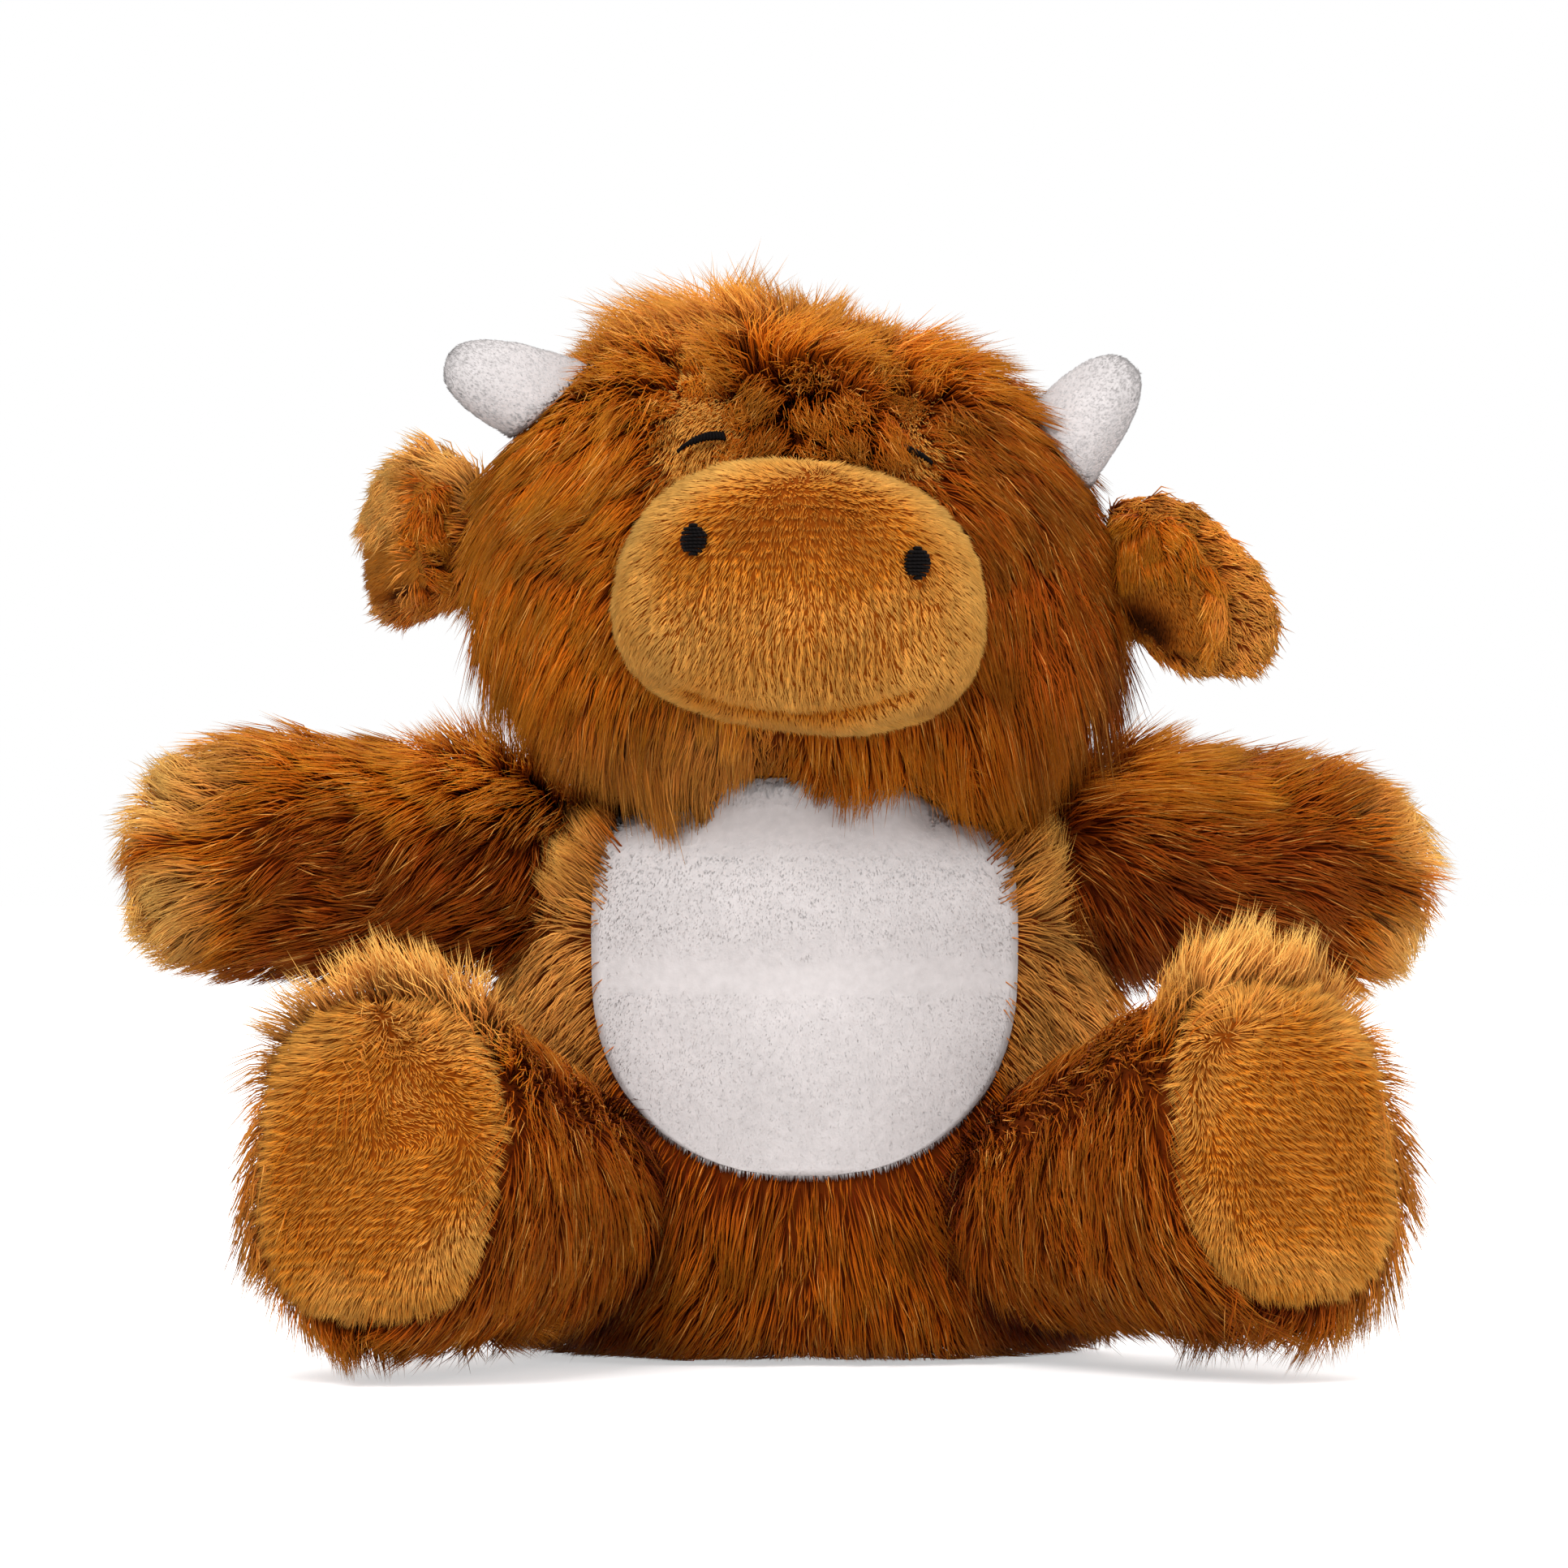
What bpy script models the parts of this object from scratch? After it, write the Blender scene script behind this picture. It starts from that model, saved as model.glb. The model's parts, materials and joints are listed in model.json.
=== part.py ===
"""A seated plush highland cow: sewn covers, fillings and trim. Metres, +Z up, with the face towards -Y."""

import math

import bmesh
import bpy
from mathutils import Matrix, Vector

# Clearances
SEAM_GAP = 0.0003  # between pieces that are sewn together
FILLING_GAP = 0.0006  # between a cover and its filling
SEAT_GAP = 0.0005  # round a ball in the seat where its seam flexes
CUT_OVERRUN = 0.004  # how far a cutter runs past what it cuts

# Fabric
LONG_PILE_WALL = 0.0024  # long-pile plush, its backing and the pile that lies on it
SHORT_PILE_WALL = 0.0016  # short-pile plush

# Body
BODY_WIDTH = 0.080
BODY_DEPTH = 0.059
BODY_HEIGHT = 0.0665
BELLY_HEIGHT = 0.030  # of the widest place, above the seat
BODY_UPPER_FULLNESS = 2.6
BODY_LOWER_FULLNESS = 6.0
SEAT_FLAT_DEPTH = 0.0005
PATCH_WIDTH = 0.051
PATCH_MIDDLE_HEIGHT = 0.047
PATCH_FALL = 0.0245
PATCH_RISE = 0.030
PATCH_FULLNESS = 2.2
PATCH_FRONT_SHARE = 0.12  # of the body's half depth, in front of which the patch lies
POUCH_WIDTH = 0.042
POUCH_DEPTH = 0.030
POUCH_HEIGHT = 0.012
POUCH_SET_BACK = 0.005

# Neck
NECK_BALL = 0.029
NECK_HEIGHT = 0.070
NECK_FORWARD = 0.004

# Head
HEAD_WIDTH = 0.075
HEAD_DEPTH = 0.060
HEAD_HEIGHT = 0.056
HEAD_FULLNESS = 2.4
HEAD_RAISE = 0.026  # of its middle above the neck's centre
HEAD_FORWARD = 0.006  # of its middle from the neck's centre
HEAD_ASIDE = 0.0015  # the head sits a little towards the toy's right hand
HEAD_ROLL = math.radians(6)

# Muzzle
MUZZLE_WIDTH = 0.0456
MUZZLE_DEPTH = 0.038
MUZZLE_HEIGHT = 0.0336
MUZZLE_FULLNESS = 2.4
MUZZLE_NARROWING_SHARE = 0.08  # how much narrower it is at the top
MUZZLE_ASIDE = 0.001  # of its middle from the head's, back towards the body's
MUZZLE_DROP = 0.0036  # of its middle below the head's
MUZZLE_FORWARD = 0.0275  # of its middle from the head's
MOUTH_RADIUS = 0.034  # of the curved seam above the lower lip
MOUTH_LIP = 0.0022  # height of the lip under the middle of that seam
NOSTRIL_WIDTH = 0.0032
NOSTRIL_HEIGHT = 0.0038
NOSTRIL_RAISE = 0.0008  # embroidery above the pile
NOSTRIL_AZIMUTH = math.radians(37)
NOSTRIL_HEIGHT_SHARE = 0.29

# Eyes
EYE_WIDTH = 0.0056
EYE_RISE = 0.0016
EYE_THREAD = 0.0011
EYE_AZIMUTH = math.radians(20.5)
EYE_HEIGHT_SHARE = 0.485

# Horns
HORN_THICKNESS = 0.0134
HORN_LENGTH = 0.028
HORN_FULLNESS = 2.7
HORN_NARROWING_SHARE = 0.16
HORN_SUNK_SHARE = 0.50  # of its length, inside the head's outline before it is cut there
HORN_HEIGHT_SHARES = {"left": 0.62, "right": 0.66}
HORN_AZIMUTHS = {"left": math.radians(-84), "right": math.radians(84)}
HORN_RISES = {"left": math.radians(158), "right": math.radians(50)}
HORN_FORWARD = math.radians(4)

# Ears
EAR_LENGTH = 0.0225
EAR_WIDTH = 0.022
EAR_THICKNESS = 0.0042
EAR_CUP = 0.0035
EAR_DROOP = 0.003
EAR_ROOT_SHARE = 0.70
EAR_BROADEST_SHARE = 0.55
EAR_EDGE_SHARE = 0.6  # how much thinner it is at its edges
EAR_THINNING_SHARE = 0.5
EAR_LINING_START_SHARE = 0.12
EAR_LINING_THICKNESS = 0.0022
EAR_LINING_SHARE = 0.80
EAR_SEAM_ANGLES = (math.radians(30), math.radians(60))  # of the rings that round its seam
EAR_HEIGHT_SHARES = {"left": 0.0, "right": 0.17}
EAR_AZIMUTHS = {"left": math.radians(-96), "right": math.radians(96)}
EAR_RISES = {"left": math.radians(184), "right": math.radians(-10)}
EAR_FORWARDS = {"left": math.radians(50), "right": math.radians(41)}
EAR_SAG_SHARES = {"left": 0.09, "right": 0.36}  # of its length, how far its tip falls along the seam

# Arms
ARM_LENGTH = 0.0495
PAW_HEIGHT = 0.029
PAW_THICKNESS = 0.022
ARM_BALL = 0.021
ARM_OUTSET = 0.0055  # of the shoulder's centre from the body's surface
ARM_HEIGHT_SHARE = 0.82
ARM_SWING_ROOM = 0.0036  # round the ball, in the body's side under and over the shoulder
ARM_ROOM_DEPTH = 0.010
ARM_AZIMUTH = math.radians(86)
ARM_SECTION_SHARES = (
    (0.11, 0.66, 0.87),
    (0.34, 0.78, 0.92),
    (0.60, 0.97, 1.00),
    (0.76, 1.00, 0.98),
    (0.90, 0.80, 0.78),
    (0.97, 0.52, 0.52),
    (1.00, 0.26, 0.26),
)
ARM_DROOPS = {"left": math.radians(-2), "right": math.radians(2)}
ARM_FORWARDS = {"left": math.radians(8), "right": math.radians(-28)}

# Legs
LEG_LENGTH = 0.0445
FOOT_WIDTH = 0.037
FOOT_HEIGHT = 0.043
LEG_BALL = 0.029
LEG_OUTSET = 0.002
LEG_HEIGHT = 0.0195  # of the hip's centre above the seat
LEG_AZIMUTH = math.radians(47)
LEG_SECTION_SHARES = (
    (0.13, 0.75, 0.64),
    (0.36, 0.84, 0.76),
    (0.62, 0.97, 0.95),
    (0.80, 1.00, 1.00),
    (0.93, 0.99, 0.99),
    (0.985, 0.95, 0.965),
    (1.00, 0.90, 0.93),
)
LEG_SPLAYS = {"left": math.radians(26), "right": math.radians(36)}
LEG_RISES = {"left": math.radians(9), "right": math.radians(11.5)}
PAD_WIDTH = 0.0292
PAD_HEIGHT = 0.0356
PAD_CROWN = 0.0016
PAD_FULLNESS = 2.8
PAD_CROWN_ANGLES = (0, math.radians(25), math.radians(50), math.radians(72))

# Limbs at their roots, where their filling meets the body's
LIMB_OPENING_SHARE = 0.42  # of the ball
LIMB_NECK_ANGLE = math.radians(20)  # of the ball, past its widest ring, before the sleeve begins

# Tail
TAIL_HEIGHT_SHARE = 0.04  # of the fall below the widest place
TAIL_THICKNESS = 0.0052
TAIL_LENGTH = 0.013
TAIL_FULLNESS = 3.5
TAIL_TUFT_LENGTH = 0.015
TAIL_TUFT_THICKNESS = 0.011
TAIL_LEAN = math.radians(14)

# Mesh fineness
AROUND = 22
RINGS = 13
INNER_AROUND = 16
INNER_RINGS = 9
SMALL_AROUND = 12
SMALL_RINGS = 6
BALL_RINGS = 10
SEAT_AROUND = 20
ARM_AROUND = 20
PAD_AROUND = 24
OUTLINE_POINTS = 44
EAR_RINGS = 6
EAR_ACROSS = 6
EYE_STEPS = 8

SIDES = {"left": -1, "right": 1}


class Form:
    """A stuffed form, round across, with its own reach and fullness above and below its widest place."""

    def __init__(
        self, middle, half_width, half_depth, rise, fall, full_above, full_below, turn=None, narrowing_share=0
    ):
        self.middle = Vector(middle)
        self.half_width = half_width
        self.half_depth = half_depth
        self.rise = rise
        self.fall = fall
        self.full_above = full_above
        self.full_below = full_below
        self.turn = turn or Matrix.Identity(3)
        self.narrowing_share = narrowing_share

    def at(self, azimuth, height_share, grow=0.0):
        """A point of the surface. Azimuth 0 is the front and turns to +X; the share runs from -1 to 1."""
        full = self.full_above if height_share > 0 else self.full_below
        reach = self.rise if height_share > 0 else self.fall
        round_share = max(0.0, 1 - abs(height_share) ** full) ** (1 / full)
        wide_share = round_share * (1 - self.narrowing_share * height_share)
        local = Vector(
            (
                (self.half_width + grow) * wide_share * math.sin(azimuth),
                -(self.half_depth + grow) * round_share * math.cos(azimuth),
                (reach + grow) * height_share,
            )
        )
        return self.middle + self.turn @ local

    def outward(self, azimuth, height_share):
        """The surface's unit normal there."""
        step = math.radians(1)
        step_share = 0.01
        along = self.at(azimuth + step, height_share) - self.at(azimuth - step, height_share)
        up = self.at(azimuth, height_share + step_share) - self.at(azimuth, height_share - step_share)
        return along.cross(up).normalized()

    def rings(self, count, around, grow):
        """Rings of points from the lowest to the highest, without the two poles."""
        found = []
        for i in range(1, count):
            angle = math.pi * (i / count - 1 / 2)
            full = self.full_above if angle > 0 else self.full_below
            height_share = math.copysign(abs(math.sin(angle)) ** (2 / full), angle)
            angles = (math.tau * k / around for k in range(around))
            found.append([self.at(azimuth, height_share, grow) for azimuth in angles])
        return found


def linear(colour):
    """An sRGB colour of 0 to 255 as the linear one that a shader takes."""
    return [((c / 255 + 0.055) / 1.055) ** 2.4 for c in colour] + [1.0]


def make_material(name, colour, roughness):
    material = bpy.data.materials.new(name)
    material.use_nodes = True
    shader = material.node_tree.nodes["Principled BSDF"]
    shader.inputs["Base Color"].default_value = linear(colour)
    shader.inputs["Roughness"].default_value = roughness
    shader.inputs["Metallic"].default_value = 0.0
    return material


def closed_mesh(name, rings, first, last):
    """A mesh through rings of points, closed by a pole at each end, with its faces outwards."""
    mesh = bmesh.new()
    rows = [[mesh.verts.new(point) for point in ring] for ring in rings]
    around = len(rings[0])
    for pole, row in ((mesh.verts.new(first), rows[0]), (mesh.verts.new(last), rows[-1])):
        for k in range(around):
            mesh.faces.new((pole, row[k], row[(k + 1) % around]))
    for low, high in zip(rows, rows[1:]):
        for k in range(around):
            mesh.faces.new((low[k], low[(k + 1) % around], high[(k + 1) % around], high[k]))
    bmesh.ops.recalc_face_normals(mesh, faces=mesh.faces)
    data = bpy.data.meshes.new(name)
    mesh.to_mesh(data)
    mesh.free()
    data.shade_smooth()
    return data


def add_object(name, data, material=None, origin=None):
    """An object whose origin is on its joint's axis. Without a material it is a cutter."""
    thing = bpy.data.objects.new(name, data)
    bpy.context.collection.objects.link(thing)
    if origin is not None:
        data.transform(Matrix.Translation(-Vector(origin)))
        thing.location = origin
    if material is None:
        thing.hide_render = True
        thing.display_type = "WIRE"
    else:
        data.materials.append(material)
    return thing


def add_form(name, form, grow=0.0, material=None, origin=None, rings=RINGS, around=AROUND):
    points = form.rings(rings, around, grow)
    low, high = form.at(0, -1, grow), form.at(0, 1, grow)
    return add_object(name, closed_mesh(name, points, low, high), material, origin)


def add_inside(name, form, wall):
    """The cutter that hollows a cover."""
    return add_form(name, form, -wall, rings=INNER_RINGS, around=INNER_AROUND)


def add_filling(name, form, wall, material, origin=None):
    """The filling of a cover with this wall."""
    return add_form(name, form, -wall - FILLING_GAP, material, origin, INNER_RINGS, INNER_AROUND)


def combine(piece, cutter, operation="DIFFERENCE"):
    modifier = piece.modifiers.new(cutter.name, "BOOLEAN")
    modifier.operation = operation
    modifier.solver = "EXACT"
    modifier.object = cutter


def cut(piece, *cutters):
    for cutter in cutters:
        combine(piece, cutter)


def add_ball(name, middle, radius, around=SEAT_AROUND):
    form = Form(middle, radius, radius, radius, radius, 2, 2)
    return add_form(name, form, rings=around // 2, around=around)


def axes_along(direction, up):
    """A turn whose Z runs along the direction, and whose Y is as near to up as it can be."""
    along = Vector(direction).normalized()
    level = (Vector(up) - along * along.dot(up)).normalized()
    return Matrix((level.cross(along), level, along)).transposed()


def add_prism(name, outline, turn, start, end):
    """A straight prism from one point to another, with its outline in the turn's XY plane."""
    low = [start + turn @ Vector((x, y, 0)) for x, y in outline]
    high = [end + turn @ Vector((x, y, 0)) for x, y in outline]
    return add_object(name, closed_mesh(name, [low, high], start, end))


def direction_of(rise, forward, sign=1):
    """A unit vector towards +X, or -X with a sign of -1, raised and brought forward by these angles."""
    level = math.cos(rise)
    return Vector((sign * level * math.cos(forward), -level * math.sin(forward), math.sin(rise)))


def oval(half_width, half_up, half_down, fullness, count=OUTLINE_POINTS):
    """Points of a full oval, with its own reach up and down."""
    points = []
    for k in range(count):
        c, s = math.cos(math.tau * k / count), math.sin(math.tau * k / count)
        x = math.copysign(abs(c) ** (2 / fullness), c) * half_width
        y = math.copysign(abs(s) ** (2 / fullness), s) * (half_up if s > 0 else half_down)
        points.append((x, y))
    return points


class Limb:
    """A stuffed limb that grows from a ball at its joint and swells towards its end."""

    def __init__(self, pivot, direction, length, width, height, ball, section_shares):
        self.pivot = Vector(pivot)
        self.turn = axes_along(direction, (0, 0, 1))
        self.length = length
        self.half_width = width / 2
        self.half_height = height / 2
        self.ball = ball / 2
        self.section_shares = section_shares

    def place(self, x, y, along):
        return self.pivot + self.turn @ Vector((x, y, along))

    def mesh(self, name, grow, around):
        """The limb's closed form, grown all round by this much."""
        radius = self.ball + grow
        rings = []
        steps = around // 4
        for k in range(1, steps + 1):
            polar = (math.pi / 2 + LIMB_NECK_ANGLE) * k / steps
            across = radius * math.sin(polar)
            rings.append((-radius * math.cos(polar), across, across))
        for share, wide_share, high_share in self.section_shares:
            along = (self.length + grow) * share
            rings.append((along, self.half_width * wide_share + grow, self.half_height * high_share + grow))
        angles = [math.tau * k / around for k in range(around)]
        points = [
            [self.place(wide * math.cos(angle), high * math.sin(angle), along) for angle in angles]
            for along, wide, high in rings
        ]
        return closed_mesh(name, points, self.place(0, 0, -radius), self.place(0, 0, rings[-1][0]))


def clear_scene():
    for thing in list(bpy.data.objects):
        bpy.data.objects.remove(thing, do_unlink=True)


def body_form():
    return Form(
        (0, 0, BELLY_HEIGHT - SEAT_FLAT_DEPTH),
        BODY_WIDTH / 2,
        BODY_DEPTH / 2,
        BODY_HEIGHT - BELLY_HEIGHT + SEAT_FLAT_DEPTH,
        BELLY_HEIGHT,
        BODY_UPPER_FULLNESS,
        BODY_LOWER_FULLNESS,
    )


def neck_centre():
    return Vector((0, -NECK_FORWARD, NECK_HEIGHT))


def head_form():
    middle = neck_centre() + Vector((-HEAD_ASIDE, -HEAD_FORWARD, HEAD_RAISE))
    roll = Matrix.Rotation(HEAD_ROLL, 3, "Y")
    half = HEAD_HEIGHT / 2
    return Form(middle, HEAD_WIDTH / 2, HEAD_DEPTH / 2, half, half, HEAD_FULLNESS, HEAD_FULLNESS, roll)


def muzzle_form():
    head = head_form()
    middle = head.middle + Vector((MUZZLE_ASIDE, -MUZZLE_FORWARD, -MUZZLE_DROP))
    half = MUZZLE_HEIGHT / 2
    return Form(
        middle,
        MUZZLE_WIDTH / 2,
        MUZZLE_DEPTH / 2,
        half,
        half,
        MUZZLE_FULLNESS,
        MUZZLE_FULLNESS,
        head.turn,
        MUZZLE_NARROWING_SHARE,
    )


def horn_form(side):
    direction = direction_of(HORN_RISES[side], HORN_FORWARD)
    turn = axes_along(direction, (0, -1, 0))
    root = head_form().at(HORN_AZIMUTHS[side], HORN_HEIGHT_SHARES[side])
    middle = root + direction * HORN_LENGTH * (1 / 2 - HORN_SUNK_SHARE)
    half = HORN_THICKNESS / 2
    reach = HORN_LENGTH / 2
    return Form(middle, half, half, reach, reach, HORN_FULLNESS, 2, turn, HORN_NARROWING_SHARE)


def arm(side):
    form = body_form()
    azimuth = SIDES[side] * ARM_AZIMUTH
    level = Vector((SIDES[side], 0, 0))
    pivot = form.at(azimuth, ARM_HEIGHT_SHARE) + level * ARM_OUTSET
    direction = direction_of(-ARM_DROOPS[side], ARM_FORWARDS[side], SIDES[side])
    return Limb(pivot, direction, ARM_LENGTH, PAW_THICKNESS, PAW_HEIGHT, ARM_BALL, ARM_SECTION_SHARES)


def leg(side):
    form = body_form()
    azimuth = SIDES[side] * LEG_AZIMUTH
    share = (LEG_HEIGHT - BELLY_HEIGHT) / BELLY_HEIGHT
    level = form.outward(azimuth, share)
    pivot = form.at(azimuth, share) + Vector((level.x, level.y, 0)).normalized() * LEG_OUTSET
    pivot.z = LEG_HEIGHT
    direction = direction_of(LEG_RISES[side], math.pi / 2 - LEG_SPLAYS[side], SIDES[side])
    return Limb(pivot, direction, LEG_LENGTH, FOOT_WIDTH, FOOT_HEIGHT, LEG_BALL, LEG_SECTION_SHARES)


def tail_root():
    """The tail's seam on the back, on the skin's surface."""
    return body_form().at(math.pi, -TAIL_HEIGHT_SHARE)


def seat_cutters():
    """The hollows in the body for the neck's ball, the arms' and the legs'."""
    found = [add_ball("neck_seat", neck_centre(), NECK_BALL / 2 + SEAT_GAP)]
    for side in SIDES:
        for name, limb in (("arm", arm(side)), ("leg", leg(side))):
            found.append(add_ball(f"{name}_{side}_seat", limb.pivot, limb.ball + SEAT_GAP))
        limb = arm(side)
        radius = limb.ball + ARM_SWING_ROOM
        outline = oval(radius, radius, radius, 2, SEAT_AROUND)
        start, end = limb.place(0, 0, 0), limb.place(0, 0, ARM_ROOM_DEPTH)
        found.append(add_prism(f"arm_{side}_room", outline, limb.turn, start, end))
    return found


def patch_prism(name, shrink):
    """A prism from the body's front through its wall, with the outline of the belly patch."""
    outline = oval(PATCH_WIDTH / 2 - shrink, PATCH_RISE, PATCH_FALL - shrink, PATCH_FULLNESS)
    start = Vector((0, -BODY_DEPTH / 2 * PATCH_FRONT_SHARE, PATCH_MIDDLE_HEIGHT))
    end = Vector((0, -BODY_DEPTH / 2 - CUT_OVERRUN, PATCH_MIDDLE_HEIGHT))
    turn = axes_along((0, -1, 0), (0, 0, 1))
    return add_prism(name, outline, turn, start, end)


def floor_box(name):
    """A box under the seat, wider than the body on every side."""
    mesh = bmesh.new()
    bmesh.ops.create_cube(mesh, size=1)
    bmesh.ops.translate(mesh, vec=(0, 0, -1 / 2), verts=mesh.verts)
    size = (BODY_WIDTH + CUT_OVERRUN, BODY_DEPTH + CUT_OVERRUN, CUT_OVERRUN)
    bmesh.ops.scale(mesh, vec=size, verts=mesh.verts)
    data = bpy.data.meshes.new(name)
    mesh.to_mesh(data)
    mesh.free()
    return data


def build_body(plush, white, fibre, bean):
    form = body_form()
    seats = seat_cutters()
    floor = add_object("floor_cut", floor_box("floor_cut"))
    inside = add_inside("body_inside", form, LONG_PILE_WALL)
    opening = patch_prism("patch_opening", 0)

    cover = add_form("body_cover", form, material=plush)
    cut(cover, floor, inside, *seats, opening)

    patch = add_form("belly_patch", form, material=white)
    outline = patch_prism("patch_outline", SEAM_GAP)
    cut(patch, inside)
    combine(patch, outline, "INTERSECT")
    cut(patch, *seats)

    pouch_form = Form(
        (0, POUCH_SET_BACK, LONG_PILE_WALL - SEAT_FLAT_DEPTH + FILLING_GAP + POUCH_HEIGHT / 2),
        POUCH_WIDTH / 2,
        POUCH_DEPTH / 2,
        POUCH_HEIGHT / 2,
        POUCH_HEIGHT / 2,
        2,
        3,
    )
    add_form("bean_pouch", pouch_form, material=bean, rings=SMALL_RINGS, around=INNER_AROUND)
    room = add_form("pouch_room", pouch_form, SEAM_GAP, rings=SMALL_RINGS, around=INNER_AROUND)

    filling = add_filling("body_filling", form, LONG_PILE_WALL, fibre)
    cut(filling, *seats, room)


def build_neck(fibre):
    ball = Form(neck_centre(), NECK_BALL / 2, NECK_BALL / 2, NECK_BALL / 2, NECK_BALL / 2, 2, 2)
    add_form("neck_filling", ball, material=fibre, origin=neck_centre(), rings=BALL_RINGS)


def build_head(plush, fibre):
    form = head_form()
    pivot = neck_centre()
    seat = bpy.data.objects["neck_seat"]
    inside = add_inside("head_inside", form, LONG_PILE_WALL)
    opening = add_inside("muzzle_opening", muzzle_form(), SHORT_PILE_WALL)
    cover = add_form("head_cover", form, material=plush, origin=pivot)
    cut(cover, inside, seat, opening)
    filling = add_filling("head_filling", form, LONG_PILE_WALL, fibre, pivot)
    cut(filling, seat)


def build_muzzle(short, fibre, thread):
    form = muzzle_form()
    pivot = neck_centre()
    outside_head = add_form("head_outline", head_form(), SEAM_GAP)
    inside = bpy.data.objects["muzzle_opening"]
    turn = axes_along((0, -1, 0), (0, 0, 1))
    bottom = form.middle.z - form.fall
    centre = Vector((form.middle.x, form.middle.y + MUZZLE_DEPTH, bottom + MOUTH_LIP + MOUTH_RADIUS))
    front = centre - Vector((0, 2 * MUZZLE_DEPTH, 0))
    upper = MOUTH_RADIUS - SEAM_GAP / 2
    lower = MOUTH_RADIUS + SEAM_GAP / 2
    above = add_prism("above_mouth", oval(upper, upper, upper, 2), turn, centre, front)
    below = add_prism("below_mouth", oval(lower, lower, lower, 2), turn, centre, front)

    cover = add_form("muzzle_cover", form, material=short, origin=pivot)
    cut(cover, inside, outside_head)
    combine(cover, above, "INTERSECT")
    lip = add_form("lower_lip", form, material=short, origin=pivot)
    cut(lip, inside, outside_head, below)

    filling = add_filling("muzzle_filling", form, SHORT_PILE_WALL, fibre, pivot)
    cut(filling, bpy.data.objects["head_inside"])

    outside = add_form("muzzle_outline", form, SEAM_GAP)
    raised = NOSTRIL_RAISE + SEAM_GAP
    for side, sign in SIDES.items():
        azimuth = sign * NOSTRIL_AZIMUTH
        middle = form.at(azimuth, NOSTRIL_HEIGHT_SHARE)
        turn = axes_along(form.outward(azimuth, NOSTRIL_HEIGHT_SHARE), form.turn @ Vector((0, 0, 1)))
        stitch = Form(middle, NOSTRIL_WIDTH / 2, NOSTRIL_HEIGHT / 2, raised, raised, 2, 2, turn)
        nostril = add_form(f"nostril_{side}", stitch, 0, thread, pivot, SMALL_RINGS, SMALL_AROUND)
        cut(nostril, outside)


def add_tube(name, points, radius, material, origin):
    """A cord of round section through the points, with closed ends."""
    curve = bpy.data.curves.new(name, "CURVE")
    curve.dimensions = "3D"
    curve.bevel_depth = radius
    curve.bevel_resolution = 2
    curve.use_fill_caps = True
    line = curve.splines.new("POLY")
    line.points.add(len(points) - 1)
    for place, point in zip(line.points, points):
        place.co = (*(point - origin), 1)
    curve.materials.append(material)
    thing = bpy.data.objects.new(name, curve)
    bpy.context.collection.objects.link(thing)
    thing.location = origin
    return thing


def build_eyes(thread):
    """A closed eye is one embroidered arch on the face, just above the muzzle."""
    form = head_form()
    for side, sign in SIDES.items():
        middle = form.at(sign * EYE_AZIMUTH, EYE_HEIGHT_SHARE)
        outward = form.outward(sign * EYE_AZIMUTH, EYE_HEIGHT_SHARE)
        turn = axes_along(outward, form.turn @ Vector((0, 0, 1)))
        sag = EYE_WIDTH**2 / (4 * HEAD_DEPTH)
        points = []
        for k in range(EYE_STEPS + 1):
            share = 2 * k / EYE_STEPS - 1
            x = share * EYE_WIDTH / 2
            y = (1 - share**2) * EYE_RISE
            out = EYE_THREAD / 2 + SEAM_GAP + sag * (1 - share**2)
            points.append(middle + turn @ Vector((x, y, out)))
        add_tube(f"eye_{side}", points, EYE_THREAD / 2, thread, neck_centre())


def build_horns(white, fibre):
    outside_head = bpy.data.objects["head_outline"]
    for side in SIDES:
        form = horn_form(side)
        name = f"horn_{side}"
        inside = add_form(f"{name}_inside", form, -SHORT_PILE_WALL, rings=SMALL_RINGS, around=SMALL_AROUND)
        cover = add_form(name, form, 0, white, neck_centre(), BALL_RINGS, INNER_AROUND)
        cut(cover, inside, outside_head)
        less = -SHORT_PILE_WALL - FILLING_GAP
        filling = add_form(f"{name}_filling", form, less, fibre, neck_centre(), SMALL_RINGS, SMALL_AROUND)
        cut(filling, outside_head)


def ear_frame(side):
    """The middle of the ear's seam and a turn whose Z runs out along the ear and whose Y runs up the seam."""
    place = (EAR_AZIMUTHS[side], EAR_HEIGHT_SHARES[side])
    form = head_form()
    normal = form.outward(*place)
    middle = form.at(*place) + normal * (EAR_THICKNESS / 2 + SEAM_GAP)
    direction = direction_of(EAR_RISES[side], EAR_FORWARDS[side])
    up = Vector((0, 0, 1))
    seam = (up - normal * up.dot(normal)).normalized()
    return middle, axes_along(direction - seam * direction.dot(seam), seam)


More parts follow.
